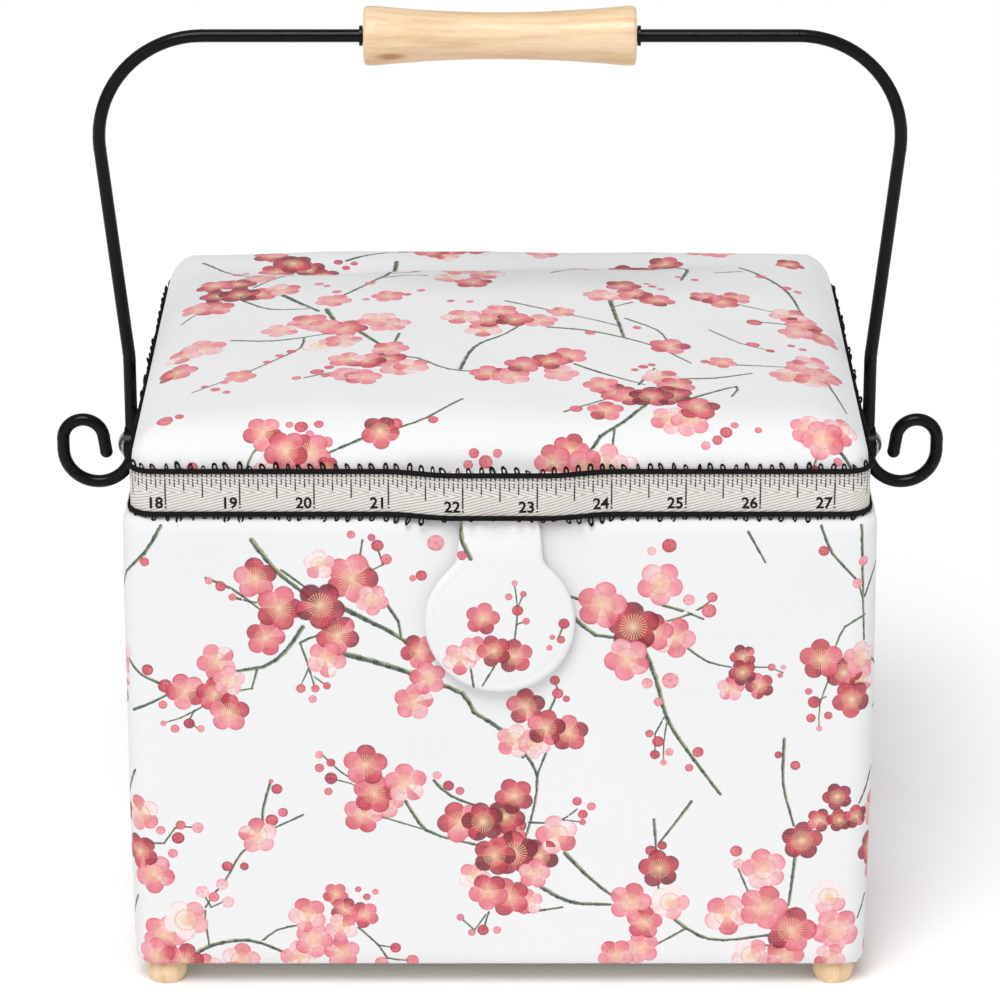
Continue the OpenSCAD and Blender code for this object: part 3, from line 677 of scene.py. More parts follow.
def cushion(name, a, b, r, low, height, cell):
    """A closed cushion over a rounded rectangle: a domed top sheet on a flat underside. Returns
    the object and how many points lie across it."""

    def ticks(half):
        inner = np.linspace(-half + 10, half - 10, round((2 * half - 20) / cell) + 1)
        edge = half - np.array([0, 0.5, 1.4, 2.7, 4.4, 6.2, 8.1])
        return np.concatenate([-edge, inner, edge[::-1]])

    xs, ys = ticks(a), ticks(b)
    verts, faces = [], []
    for level in (0, 1):
        for y in ys:
            for x in xs:
                px, py = x, y
                cx, cy = abs(x) - (a - r), abs(y) - (b - r)
                if cx > 0 and cy > 0:
                    u, v = cx / r, cy / r
                    px = math.copysign(a - r + r * u * math.sqrt(1 - v * v / 2), x)
                    py = math.copysign(b - r + r * v * math.sqrt(1 - u * u / 2), y)
                z = low + (height(px, py) if level else -1.2)
                verts.append((px * mm, py * mm, z * mm))
    nx, ny = len(xs), len(ys)
    for level in (0, 1):
        base = level * nx * ny
        for j in range(ny - 1):
            for i in range(nx - 1):
                q = [base + j * nx + i, base + j * nx + i + 1,
                     base + (j + 1) * nx + i + 1, base + (j + 1) * nx + i]
                faces.append(q if level else q[::-1])
    ring = edge_ring(nx, ny)
    top = nx * ny
    for p, q in zip(ring, ring[1:] + ring[:1]):
        faces.append([p, q, top + q, top + p])
    mesh = bpy.data.meshes.new(name)
    mesh.from_pydata(verts, [], faces)
    ob = bpy.data.objects.new(name, mesh)
    bpy.context.scene.collection.objects.link(ob)
    return ob, nx


def lay_flat(co, cols):
    """Each point's place on the cloth before it was drawn over the cushion: its distances from
    the middle, measured along the surface. The underside takes the top's."""
    half = len(co) // 2
    top = co[half:].reshape(-1, cols, 3)
    across = np.cumsum(np.pad(np.linalg.norm(np.diff(top, axis=1), axis=2), ((0, 0), (1, 0))), 1)
    along = np.cumsum(np.pad(np.linalg.norm(np.diff(top, axis=0), axis=2), ((1, 0), (0, 0))), 0)
    across -= across[:, cols // 2][:, None]
    along -= along[along.shape[0] // 2][None]
    flat = np.stack([across, along], 2).reshape(-1, 2)
    return np.concatenate([flat, flat])


def corner_places(mesh):
    """Every point of a mesh in millimetres, and which point each face corner uses."""
    return (np.array([v.co for v in mesh.vertices]) / mm,
            np.array([l.vertex_index for l in mesh.loops]))


lid_cushion, lid_cols = cushion("lid_cushion", cushion_a, cushion_b, 8.6, band_top,
                                crown_height, 4.2)
co, loops = corner_places(lid_cushion.data)
laid = lay_flat(co, lid_cols)
print_on(lid_cushion.data, laid[loops], repeat=(600.0, 600.0), blooms=[
    # behind and left of the middle
    (-99, 45, 6, .9), (-98, 33, 7, 1.0), (-106, 33, 6, .85), (-107, 20, 7, .55),
    (-113, 21, 5.5, .4),
    (-90, 32, 6, .65), (-82, 36, 6, .35), (-108, 45, 6, .6), (-91, 52, 5.5, .4),
    (-89, 83, 6, .6), (-80, 75, 6.6, .85), (-86, 67, 6, .7), (-68, 65, 5.5, .75), (-74, 70, 6, .9),
    (-36, 92, 5.6, .75), (-28, 87, 6, .7), (-20, 90, 6, .65), (-12, 91, 6, .7), (-22, 82, 4, .3),
    (-17, 54, 6, .4), (-7, 48, 6, .35), (-12, 36, 6.2, .7), (-21, 43, 5, .1), (-43, 23, 5.4, .5),
    (-63, 20, 6, .4),
    # the long spray across the left
    (-71, -2, 7, .5), (-81, -10, 6, .2), (-58, -11, 7.6, .7), (-46, -3, 7, .2), (-42, -9, 7, .22),
    (-58, -24, 6, .35), (-66, -28, 6, .02), (-65, -8, 6, .4),
    (-56, -44, 6.2, .35), (-49, -46, 6.2, .68), (-42, -45, 6.4, .9), (-41, -35, 6, .5),
    (-38, -53, 6, .4), (-50, -61, 6, .45), (-56, -58, 5.4, .15), (-33, -52, 5.6, .3),
    (-108, -24, 7.6, .2), (-115, -29, 6, .3), (-116, -45, 6.6, .6), (-93, -55, 5, .45),
    # along the front roll
    (-83, -98, 6, .62), (-75, -105, 6.6, .72), (-67, -106, 6.6, .6), (-79, -112, 6.6, .08),
    (-68, -115, 6, .4), (-43, -98, 5.8, .75), (-61, -111, 3.6, .6), (-75, -120, 6, .5),
    (22, -105, 5.6, .7), (16, -109, 5.6, .62), (27, -111, 6, .45), (22, -116, 6, .62),
    (34, -110, 6.6, .08), (40, -114, 6.6, .02), (66, -119, 6, .5), (2, -125, 6, .6),
    # the middle and the right
    (-16, -4, 6.6, .3), (-6, -8, 6.4, .6), (-2, 1, 6, .5), (-8, -18, 6, .3), (3, -8, 6.2, .75),
    (12, -9, 6, .4), (-6, -59, 6, .62), (2, -61, 6, .4), (6, -51, 6, .72), (15, -48, 6, .66),
    (22, -43, 6, .6), (19, -58, 5.6, .22), (14, 88, 5.6, .4), (44, 70, 6, .8), (51, 67, 6, .85),
    (60, 76, 6, .8), (52, 94, 6, .1), (74, 91, 6, .5), (80, 88, 6, .4), (107, 74, 5, .66),
    (43, 34, 6, .66), (35, 21, 6, .4), (41, 22, 6, .1), (47, 24, 6, .6), (55, 18, 6, .66),
    (73, 26, 5.4, .6), (79, 23, 6, .72), (84, 28, 5.4, .5), (103, 13, 6.4, .3), (108, 5, 6.4, .62),
    (114, -5, 6.4, .6), (105, -5, 6, .4), (20, 1, 4.6, .42), (58, -30, 6.6, .62),
    (76, -44, 4.6, .5),
    (33, -67, 5.6, .5), (38, -73, 6, .75), (43, -77, 6, .6), (50, -77, 7, 1.0), (57, -76, 7, .98),
    (59, -67, 6, .62), (34, -87, 5.6, .62), (66, -85, 6.6, .66), (56, -92, 6, .3), (63, -93, 6, .4),
    (54, -60, 6, .3), (105, -43, 6.4, .5), (112, -48, 6.4, .5), (107, -56, 6, .35),
    (99, -53, 6, .2),
    (108, -36, 6, .3), (108, -100, 6.6, .45), (114, -96, 5.6, .35), (103, -96, 5.6, .15),
], buds=[
    (-100, 60, 2, .7), (-97, 63, 1.5, .5), (-63, 76, 1.8, .8), (-60, 72, 1.6, .7),
    (-57, 75, 1.4, .6),
    (-69, 41, 1.8, .5), (-66, 38, 1.4, .5), (-62, 30, 1.8, .5), (-50, 39, 2, .4),
    (-36, 24, 1.6, .6),
    (-31, 28, 1.6, .5), (-51, 20, 1.4, .5), (-34, 54, 1.3, .6), (-46, 56, 1.5, .6),
    (-66, -55, 2.6, .6),
    (-73, -60, 1.8, .5), (-62, -51, 1.8, .6), (-63, -59, 1.6, .6), (-76, -33, 1.8, .6),
    (-80, -37, 1.6, .6), (-84, -43, 1.6, .6), (-101, -66, 1.8, .6), (-97, -69, 1.5, .6),
    (-105, -63, 1.4, .6), (-98, -60, 1.4, .5), (-117, -91, 3, .6), (-112, -89, 1.6, .6),
    (-70, -96, 2.4, .7), (-64, -95, 1.7, .6), (-74, -95, 1.4, .5), (-67, -99, 1.5, .5),
    (-61, -102, 2, .5), (-38, -95, 2.7, .7), (-25, -93, 1.8, .7), (-11, -106, 1.8, .6),
    (-7, -109, 2.4, .6), (-3, -106, 1.6, .5), (-13, -110, 1.7, .5), (-111, -112, 2.2, .6),
    (-107, -110, 2, .6), (-115, -114, 1.5, .6), (26, 60, 2.8, .75), (30, 56, 1.6, .5),
    (33, 59, 1.4, .5),
    (54, 35, 1.6, .6), (57, 32, 1.4, .5), (52, 38, 1.2, .5), (90, 3, 3, .75), (30, -21, 2, .6),
    (47, -13, 1.6, .6), (88, -23, 2.6, .7), (94, -28, 1.7, .7), (70, -44, 1.7, .6), (95, 55, 2, .6),
    (104, 44, 2, .6), (108, 41, 1.7, .6), (24, -86, 2.3, .6), (48, -51, 1.8, .7),
    (51, -49, 1.5, .6),
    (45, -54, 1.4, .6), (75, -98, 2.2, .75), (72, -101, 1.8, .7), (78, -95, 1.4, .6),
    (68, -103, 1.6, .4),
    (105, -112, 2.6, .7), (113, -108, 1.6, .5), (102, -20, 1.5, .6), (106, -23, 1.5, .6),
    (70, 46, 1.5, .6), (64, 49, 1.3, .6), (86, -97, 1.3, .5), (-20, 14, 1.5, .6),
    (-13, 12, 1.4, .5),
], twigs=[
    (.5, [(-114, 78), (-104, 65), (-93, 52)]), (.55, [(-60, 77), (-52, 82), (-41, 87)]),
    (.6, [(-74, 65), (-82, 55), (-93, 40)]), (.8, [(-82, 30), (-75, 19), (-68, 9)]),
    (.5, [(-97, 27), (-86, 15), (-72, 12)]), (.4, [(-118, 8), (-110, 18)]),
    (.75, [(-41, 76), (-43, 52), (-47, 44), (-61, 23)]), (.45, [(-43, 51), (-34, 52), (-25, 64)]),
    (.38, [(-46, 45), (-36, 47), (-29, 46)]), (.8, [(-65, 10), (-61, -5)]),
    (.55, [(-98, -18), (-83, -21), (-64, -16)]),
    (.42, [(-72, -19), (-73, -30), (-82, -42), (-89, -50), (-109, -68)]),
    (.75, [(-52, -16), (-45, -30)]), (.5, [(-38, -20), (-40, -33)]),
    (.5, [(-40, -42), (-31, -45), (-20, -55), (-6, -58)]),
    (.6, [(-16, -55), (-13, -40), (-9, -31), (0, -22), (6, -12)]), (.4, [(-70, -60), (-54, -53)]),
    (.5, [(0, 12), (17, 2), (40, -12)]), (.55, [(15, -16), (33, -20), (52, -30), (65, -46)]),
    (.75, [(38, 15), (39, 4), (42, -23)]), (.4, [(46, 14), (39, 8)]),
    (.45, [(43, -4), (54, -14), (58, -26)]), (.42, [(17, 49), (27, 57), (42, 69)]),
    (.4, [(-8, 70), (16, 72), (40, 70)]), (.7, [(64, 72), (68, 61), (65, 45)]),
    (.6, [(88, 66), (103, 43), (109, 10)]), (.4, [(84, 22), (99, 15)]), (.4, [(91, 4), (105, 3)]),
    (.4, [(73, -10), (84, -23), (95, -28)]), (.42, [(79, -46), (101, -44)]),
    (.5, [(61, -61), (73, -59), (86, -53)]), (.5, [(24, -50), (33, -57), (48, -67)]),
    (.45, [(46, -67), (52, -52)]), (.42, [(20, -88), (37, -77)]),
    (.55, [(61, -80), (80, -66), (78, -75)]),
    (.6, [(48, -84), (40, -94), (32, -100), (27, -107), (14, -112), (-2, -116)]),
    (.4, [(37, -97), (36, -106)]), (.6, [(111, -101), (121, -113)]), (.5, [(112, -54), (118, -80)]),
    (.38, [(107, -103), (104, -113)]), (.42, [(-76, -99), (-86, -105), (-90, -117)]),
    (.85, [(-62, -109), (-51, -119)]), (.45, [(-15, -80), (-27, -92), (-40, -98)]),
    (.45, [(-47, -100), (-61, -106)]), (.35, [(-7, -110), (2, -117)]),
    (.35, [(-111, -113), (-106, -119), (-107, -111)]), (.4, [(88, 60), (78, 56)]),
])
lid_cushion.data.materials.append(cotton.mat)
shade_smooth(lid_cushion)
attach(lid_cushion, "lid")
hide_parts("lid_cover", "lid_pad")

# ---------------------------------------------------------------------------
# The edge ribbon: a herringbone tape printed as an inch rule, wrapped once
# round the lid band and eased out a little over the top of the tab.
inch, first_mark, first_number = 25.4, -114.3, 18
band_r, band_step = 8.8, 3.0


def over_tab(s):
    """How far the ribbon and its cords stand out over the tab's neck."""
    starts, ramp, most = 40, 24, 4.2
    t = min(max((starts - abs(s)) / ramp, 0), 1)
    return most * t * t * (3 - 2 * t)


tape_low, tape_top, tape_thick = band_low + 0.2, band_top - 0.4, 0.9
band = [(0.0, tape_low)] + [(0.02, tape_low + (tape_top - tape_low) * k / 6) for k in range(1, 6)]
band += [(0.0, tape_top), (-tape_thick, tape_top), (-tape_thick, tape_low)]
ribbon, flat = swept("tape_ribbon", lid_w, lid_d, band_r, band, band_step,
                     lambda s, z, o: over_tab(s) if o > -0.5 else 0)
uv = ribbon.data.uv_layers.new(name="tape")
uv.data.foreach_set("uv", ((flat - (0, band_low)) / 1000).astype(np.float32).ravel())

twill = Finish("printed_tape", Roughness=0.8, Sheen_Weight=0.1)
u, v, _ = twill.parts(twill.node("UVMap", {"uv_map": "tape"}))
u, v = u * 1000, v * 1000
rib = ((((v - 8.3).abs() + u * 0.27) / 1.05).fract() - 0.5).abs() * 2
fray = twill.grain(twill.place(), 1.4, 3.0)
tone = twill.mix(twill.soft(rib, 0.12, 0.62), (0.36, 0.32, 0.29), (0.74, 0.70, 0.66))
tone = twill.mix(twill.soft(fray, 0.35, 0.75) * 0.3, tone, (0.82, 0.80, 0.77))
marks = None
# marks to the inch, the height of a mark's foot, and half its width
for share, foot_at, half in ((16, 11.2, 0.24), (8, 10.2, 0.25), (4, 8.9, 0.25), (2, 6.3, 0.26),
                             (1, 3.7, 0.29)):
    pitch = inch / share
    off = (((u - first_mark) / pitch + 0.5).fract() - 0.5).abs() * pitch
    line = 1 - twill.soft(off + (fray - 0.5) * 0.14, half - 0.07, half + 0.07)
    line = line * (v > foot_at) * (v < 14.9)
    marks = line if marks is None else marks.most(line)
off = (((u - first_mark) / inch + 0.5).fract() - 0.5).abs() * inch
marks = marks * (1 - (v > 13.1) * (v < 13.8) * 0.85) * (1 - (v > 12.0) * (v < 12.3) * 0.6)
marks = marks.most(1 - twill.soft((off * off + (v - 2.8).power(2.0)).root(), 0.3, 0.48))
tone = twill.mix(marks * 0.95, tone, (0.012, 0.011, 0.012))
twill.set(Base_Color=tone).bump(rib + fray * 0.4, 0.4, 0.0002)
ribbon.data.materials.append(twill.mat)
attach(ribbon, "lid")
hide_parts("edge_ribbon")

# ---------------------------------------------------------------------------
# The rule's figures, each printed just left of its inch line near the lower
# edge: thin black slips that follow the band round its corners.


band_pts, band_outs, band_run = way_round(lid_w, lid_d, band_r, band_step)
band_run = -band_run[:-1]


def on_band(s, z, out):
    """The place at length s round the band, at height z, standing out from it."""
    i = int(np.argmin(np.abs(band_run - s)))
    n = band_outs[i]
    t = np.array([-n[1], n[0]])
    p = band_pts[i] + t * (s - band_run[i]) + n * (out + over_tab(s))
    return (p[0] * mm, p[1] * mm, z * mm)


figures = bmesh.new()
lowest, highest, figure_size = 5, 40, 5.6
for number in range(lowest, highest + 1):
    font = bpy.data.curves.new("figure", "FONT")
    font.body, font.size, font.align_x = str(number), figure_size, "RIGHT"
    font.extrude, font.offset, font.resolution_u = 0.04, 0.13, 3
    slip = bpy.data.objects.new("figure", font)
    bpy.context.scene.collection.objects.link(slip)
    bpy.context.view_layer.update()
    drawn = slip.evaluated_get(bpy.context.evaluated_depsgraph_get())
    piece = bpy.data.meshes.new_from_object(drawn)
    base = len(figures.verts)
    for p in piece.vertices:
        s = first_mark + (number - first_number) * inch - 0.8 + p.co.x
        figures.verts.new(on_band(s, band_low + 2.6 + p.co.y, 0.07 + p.co.z))
    figures.verts.ensure_lookup_table()
    for f in piece.polygons:
        figures.faces.new([figures.verts[base + i] for i in f.vertices])
    bpy.data.objects.remove(slip)
bmesh.ops.remove_doubles(figures, verts=figures.verts, dist=1e-6)
bmesh.ops.recalc_face_normals(figures, faces=figures.faces)
mesh = bpy.data.meshes.new("tape_figures")
figures.to_mesh(mesh)
numbers = bpy.data.objects.new("tape_figures", mesh)
bpy.context.scene.collection.objects.link(numbers)
ink = Finish("figure_ink", Roughness=0.8, Specular_IOR_Level=0.1)
wear = ink.grain(ink.place(), 1.8, 2.0)
ink.set(Base_Color=ink.mix(wear, (0.006, 0.006, 0.006), (0.02, 0.019, 0.018)))
mesh.materials.append(ink.mat)
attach(numbers, "lid")

# ---------------------------------------------------------------------------
# Black edge cords, sewn along both edges of the ribbon: a round twisted cord
# with a small loop of thread every four millimetres.
thread = Finish("black_thread", Roughness=0.85, Specular_IOR_Level=0.12)
strand = thread.grain(thread.place(), 1.3, 3.0)
thread.set(Base_Color=thread.mix(strand, (0.003, 0.003, 0.003), (0.012, 0.012, 0.013)))
thread.bump(strand, 0.5, 0.0003)


def picots(name, height, lean, pitch=4.15, loop=0.95, gauge=0.4):
    """A cord round the band with its row of loops, as one mesh. lean is 1 for loops that stand
    up and -1 for loops that hang."""
    line = bpy.data.curves.new(name + "_line", "CURVE")
    line.dimensions = "3D"
    spline = line.splines.new("POLY")
    spline.points.add(len(band_pts) - 1)
    spline.use_cyclic_u = True
    for p, q, n, s in zip(spline.points, band_pts, band_outs, band_run):
        o = 0.25 + over_tab(s)
        p.co = ((q[0] + n[0] * o) * mm, (q[1] + n[1] * o) * mm, height * mm, 1)
        # the hanging loops stand forward over the tab's neck, to leave it room to turn up
        p.tilt = 0.41 * over_tab(s) if lean < 0 else 0
    ob = bpy.data.objects.new(name, line)
    bpy.context.scene.collection.objects.link(ob)
    tree = bpy.data.node_groups.new(name, "GeometryNodeTree")
    face = tree.interface
    face.new_socket("Geometry", in_out="INPUT", socket_type="NodeSocketGeometry")
    face.new_socket("Geometry", in_out="OUTPUT", socket_type="NodeSocketGeometry")
    sizes = {}
    for label, value in (("Cord Radius", 0.95), ("Loop Radius", loop), ("Thread Radius", gauge),
                         ("Pitch", pitch)):
        sizes[label] = face.new_socket(label, in_out="INPUT", socket_type="NodeSocketFloat")
        sizes[label].default_value = value * mm

    def add(kind, settings=None, sockets=None):
        n = tree.nodes.new(kind)
        for key, value in (settings or {}).items():
            setattr(n, key, value)
        for key, value in (sockets or {}).items():
            if hasattr(value, "is_output"):
                tree.links.new(value, n.inputs[key])
            else:
                n.inputs[key].default_value = value
        return n

    given, result = add("NodeGroupInput"), add("NodeGroupOutput")
    rod = add("GeometryNodeCurvePrimitiveCircle", {},
              {"Resolution": 7, "Radius": given.outputs["Cord Radius"]})
    cord = add("GeometryNodeCurveToMesh", {}, {"Curve": given.outputs["Geometry"],
                                               "Profile Curve": rod.outputs["Curve"]})
    even = add("GeometryNodeResampleCurve", {"mode": "LENGTH"},
               {"Curve": given.outputs["Geometry"], "Length": given.outputs["Pitch"]})
    ring = add("GeometryNodeCurvePrimitiveCircle", {},
               {"Resolution": 9, "Radius": given.outputs["Loop Radius"]})
    hair = add("GeometryNodeCurvePrimitiveCircle", {},
               {"Resolution": 4, "Radius": given.outputs["Thread Radius"]})
    hoop = add("GeometryNodeCurveToMesh", {}, {"Curve": ring.outputs["Curve"],
                                               "Profile Curve": hair.outputs["Curve"]})
    stand = add("GeometryNodeTransform", {},
                {"Geometry": hoop.outputs["Mesh"], "Translation": (0, loop * 1.6 * mm, 0),
                 "Scale": (0.72, 1.35, 1)})
    way = add("GeometryNodeInputTangent")
    turn = add("FunctionNodeAlignRotationToVector", {"axis": "X"},
               {"Vector": way.outputs["Tangent"]})
    tip = add("FunctionNodeAlignRotationToVector", {"axis": "Y", "pivot_axis": "X"},
              {"Rotation": turn.outputs["Rotation"], "Vector": (0, 0, lean)})
    cant = add("FunctionNodeRandomValue", {"data_type": "FLOAT_VECTOR"}, {"Seed": 9})
    cant.inputs[0].default_value = (-0.35, -0.3, -0.6)
    cant.inputs[1].default_value = (0.2, 0.9, 0.1)
    kick = add("ShaderNodeCombineXYZ", {}, {"X": add("GeometryNodeInputCurveTilt").outputs[0]})
    bend = add("ShaderNodeVectorMath", {"operation": "ADD"},
               {0: cant.outputs[0], 1: kick.outputs[0]})
    sway = add("FunctionNodeRotateRotation", {"rotation_space": "LOCAL"},
               {"Rotation": tip.outputs["Rotation"], "Rotate By": bend.outputs[0]})
    rows = add("GeometryNodeInstanceOnPoints", {}, {"Points": even.outputs["Curve"],
               "Instance": stand.outputs["Geometry"], "Rotation": sway.outputs["Rotation"]})
    chance = add("FunctionNodeRandomValue", {"data_type": "FLOAT"}, {"Seed": 4})
    chance.inputs[2].default_value, chance.inputs[3].default_value = 0.8, 1.2
    sized = add("GeometryNodeScaleInstances", {}, {"Instances": rows.outputs["Instances"],
                                                   "Scale": chance.outputs[1]})
    both = add("GeometryNodeJoinGeometry")
    tree.links.new(cord.outputs["Mesh"], both.inputs[0])
    tree.links.new(sized.outputs["Instances"], both.inputs[0])
    real = add("GeometryNodeRealizeInstances", {}, {"Geometry": both.outputs[0]})
    paint = add("GeometryNodeSetMaterial", {},
                {"Geometry": real.outputs[0], "Material": thread.mat})
    tree.links.new(paint.outputs[0], result.inputs[0])
    grow = ob.modifiers.new("picots", "NODES")
    grow.node_group = tree
    grow[sizes["Pitch"].identifier] = pitch * mm
    grown = ob.evaluated_get(bpy.context.evaluated_depsgraph_get())
    made = bpy.data.meshes.new_from_object(grown)
    bpy.data.objects.remove(ob)
    made.name = name
    shape = bmesh.new()
    shape.from_mesh(made)
    bmesh.ops.remove_doubles(shape, verts=shape.verts, dist=1e-7)
    bmesh.ops.recalc_face_normals(shape, faces=shape.faces)
    shape.to_mesh(made)
    ob = bpy.data.objects.new(name, made)
    bpy.context.scene.collection.objects.link(ob)
    shade_smooth(ob)
    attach(ob, "lid")


picots("upper_picots", band_top, 1)
picots("lower_picots", band_low + 0.5, -1)

# ---------------------------------------------------------------------------
# The tab: two rounds of the cotton sewn face to face and turned, with a seam
# ridge just inside the edge and a neck that runs up under the ribbon.
tab_mid, tab_y, tab_r, neck, tab_top, half_thick = 142.0, -108.0, 26.0, 14.5, 40.2, 1.5


def tab_reach(angle):
    """Distance from the tab's centre to its outline. 0 points straight up. The neck's upper
    corners are rounded, and it runs softly into the round."""
    angle = abs((angle + math.pi) % (2 * math.pi) - math.pi)
    if angle >= 0.8:
        return tab_r
    top, side = tab_top / max(math.cos(angle), 1e-3), neck / max(math.sin(angle), 1e-3)
    out = (top ** -7 + side ** -7) ** (-1 / 7)
    blend = 2.2
    return max(out, tab_r) + blend * math.exp(-abs(out - tab_r) / blend) * 0.5


count = 132
angles = [2 * math.pi * i / count for i in range(count)]
middle = np.array((0, tab_mid))
rim_line = [np.array((math.sin(a) * tab_reach(a), tab_mid + math.cos(a) * tab_reach(a)))
            for a in angles]


def inset(line, d):
    """The outline moved inwards by d."""
    n = len(line)
    out = []
    for i in range(n):
        t = line[(i + 1) % n] - line[i - 1]
        t = t / np.linalg.norm(t)
        out.append(line[i] + np.array((t[1], -t[0])) * d)
    return out


# the rolled edge and the seam ridge, as distances in from the edge and half thicknesses
edge_roll = ((0.0, 0.0), (0.3, 0.75), (0.9, 1.2), (1.8, 1.45), (2.6, half_thick), (3.2, 1.38),
             (3.8, half_thick))
rows = [[(p, y) for p in inset(rim_line, d)] for d, y in edge_roll]
inner = inset(rim_line, 3.6)
rows += [[(middle + (p - middle) * (1 - k / 11), half_thick) for p in inner]
         for k in range(1, 11)]
verts, faces = [], []


def tab_point(p, y, side):
    """A point of the tab's front (side 1) or back (-1). The neck thins and leans back towards
    the lid near its top, and the round is a little domed."""
    x, z = p
    thinned = 1 - 0.7 * min(max((z - 168) / 10, 0), 1)
    lean = 2.3 * min(max((z - 165) / 13, 0), 1) ** 2
    y += 0.5 * max(0.0, 1 - (math.hypot(x, z - tab_mid) / 22) ** 2)
    wave = 0.25 * math.sin(x * 0.09 + z * 0.05)
    return (x * mm, (tab_y + lean - side * y * thinned + wave) * mm, z * mm)


for side in (1, -1):
    for i, row in enumerate(rows):
        if side < 0 and i == 0:
            continue
        verts += [tab_point(p, y, side) for p, y in row]
    verts.append(tab_point(middle, half_thick, side))
levels = len(rows)
front_tip = levels * count
back = front_tip + 1


def at(side, i, k):
    """The number of point k of row i. Both sides share the outline, row 0."""
    k %= count
    if side > 0 or i == 0:
        return i * count + k
    return back + (i - 1) * count + k


for side in (1, -1):
    for i in range(levels - 1):
        for k in range(count):
            q = [at(side, i, k), at(side, i, k + 1), at(side, i + 1, k + 1), at(side, i + 1, k)]
            faces.append(q if side > 0 else q[::-1])
    tip = front_tip if side > 0 else len(verts) - 1
    for k in range(count):
        q = [at(side, levels - 1, k), at(side, levels - 1, k + 1), tip]
        faces.append(q if side > 0 else q[::-1])
mesh = bpy.data.meshes.new("tab")
mesh.from_pydata(verts, [], faces)
shape = bmesh.new()
shape.from_mesh(mesh)
bmesh.ops.recalc_face_normals(shape, faces=shape.faces)
shape.to_mesh(mesh)
tab = bpy.data.objects.new("tab", mesh)
bpy.context.scene.collection.objects.link(tab)
co, loops = corner_places(mesh)
print_on(mesh, co[loops][:, [0, 2]], repeat=(900.0, 900.0),
         blooms=[(-6, 144, 5.2, .72), (-14, 129, 5.2, .33), (-2, 132, 5.2, .78),
                 (-9, 133, 4.2, .15), (5, 130, 5.6, .76)],
         buds=[(3, 152, 1.3, .6), (8, 153, 1.2, .6), (6, 147, 2, .8), (9, 143, 1.3, .6),
               (5, 157, 1.1, .4), (22, 142, 2, .8), (21, 136, 1.5, .6), (18, 137, 1, .5),
               (17, 133, 1.1, .5), (-13, 167, 1.7, .6)],
         twigs=[(.8, [(-14, 180), (-13, 172), (-10, 166)]),
                (.35, [(-10, 125), (-9, 118), (-9, 115)]), (.3, [(-2, 126), (-6, 119)]),
                (.3, [(5, 136), (6, 147), (5, 156)]), (.25, [(6, 142), (9, 143)]),
                (.25, [(6, 148), (8, 153)]), (.3, [(22, 142), (20, 136)])])
mesh.materials.append(cotton.mat)
shade_smooth(tab)
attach(tab, "tab")
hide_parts("tab_pad")

# ---------------------------------------------------------------------------
# Under the lid: a pin cushion of red felt, tied down in its middle by one
# stitch, glued to the lining beside the pocket.
low, high = [tuple(v / mm for v in p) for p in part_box("pin_cushion")]
pin_a, pin_b = (high[0] - low[0]) / 2, (high[1] - low[1]) / 2
pin_x, pin_y, pin_back = (low[0] + high[0]) / 2, (low[1] + high[1]) / 2, 1.2
pin_full = high[2] - low[2] - pin_back


def pin_height(x, y):
    """A domed pad with a dimple where the stitch pulls it down."""
    far = max(abs(x) / pin_a, abs(y) / pin_b)
    edge = (1 - min(far, 1.0) ** 2.2) ** 0.6
    dimple = 3.0 * math.exp(-(x * x + y * y) / 45.0)
    return max(pin_full * edge - dimple + 0.3 * wander(x * 3, y * 3, 0.4) * edge, 0.2)


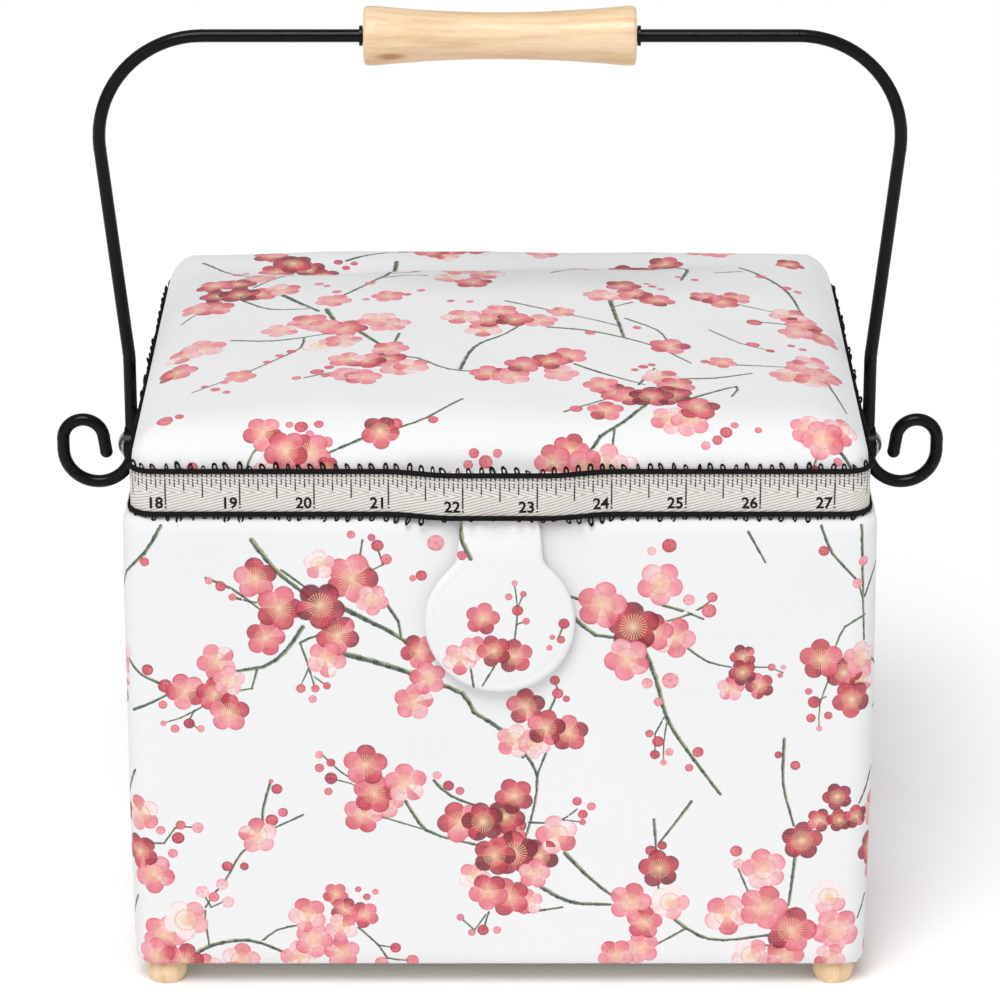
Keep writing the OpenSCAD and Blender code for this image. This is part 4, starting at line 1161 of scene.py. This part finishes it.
pin_pad, _ = cushion("pin_pad", pin_a, pin_b, 9.0, 0.0, pin_height, 2.6)
for p in pin_pad.data.vertices:
    p.co = (p.co.x + pin_x * mm, p.co.y + pin_y * mm, (high[2] - pin_back) * mm - p.co.z)
pin_pad.data.flip_normals()
felt = Finish("red_felt", Roughness=0.95, Sheen_Weight=0.4, Sheen_Roughness=0.6)
tuft = felt.grain(felt.place(), 1.6, 5.0, 0.75)
felt.set(Base_Color=felt.mix(tuft, (0.30, 0.03, 0.045), (0.50, 0.08, 0.09))).bump(tuft, 0.6, 0.0006)
pin_pad.data.materials.append(felt.mat)
shade_smooth(pin_pad)
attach(pin_pad, "lid")
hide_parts("pin_cushion")

# ---------------------------------------------------------------------------
# The lid pocket: one piece of the printed cotton, hemmed round an elastic
# that gathers its mouth, and sewn to the lining on three sides.
low, high = [tuple(v / mm for v in p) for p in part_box("lid_pocket")]
pocket_w, pocket_d, pocket_h = high[0] - low[0], high[1] - low[1], high[2] - low[2]
across, inwards, pocket_thick = 96, 44, 0.7


def pocket_drop(u, v):
    """How far the pocket hangs below the lining. u runs across it, v in from its mouth."""
    side = (1 - abs(2 * u - 1) ** 9) ** 0.5
    hem = 1 - max(0.0, (v - 0.6) / 0.4) ** 3
    folds = math.sin(u * 73 + 2 * math.sin(u * 11)) * math.exp(-v * 5.5)
    elastic = 0.06 * math.exp(-((v - 0.1) / 0.03) ** 2)
    return pocket_h * side * hem * (0.84 + 0.13 * folds * (1 if v > 0.09 else 0.55) - elastic)


verts, faces = [], []
for skin in (0, 1):
    for j in range(inwards + 1):
        for i in range(across + 1):
            u, v = i / across, j / inwards
            z = high[2] - pocket_drop(u, v) + pocket_thick * skin
            verts.append(((low[0] + pocket_w * u) * mm, (low[1] + pocket_d * v) * mm, z * mm))
row, sheet = across + 1, (inwards + 1) * (across + 1)
for skin in (0, 1):
    for j in range(inwards):
        for i in range(across):
            first = skin * sheet + j * row + i
            q = [first, first + 1, first + row + 1, first + row]
            faces.append(q if skin else q[::-1])
ring = edge_ring(row, inwards + 1)
for p, q in zip(ring, ring[1:] + ring[:1]):
    faces.append([p, q, sheet + q, sheet + p])
mesh = bpy.data.meshes.new("pocket")
mesh.from_pydata(verts, [], faces)
pocket = bpy.data.objects.new("pocket", mesh)
bpy.context.scene.collection.objects.link(pocket)
co, loops = corner_places(mesh)
print_on(mesh, co[loops][:, :2] * (-1.0, -1.0) + (10.0, 95.0))
mesh.materials.append(cotton.mat)
shade_smooth(pocket)
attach(pocket, "lid")
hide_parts("lid_pocket")
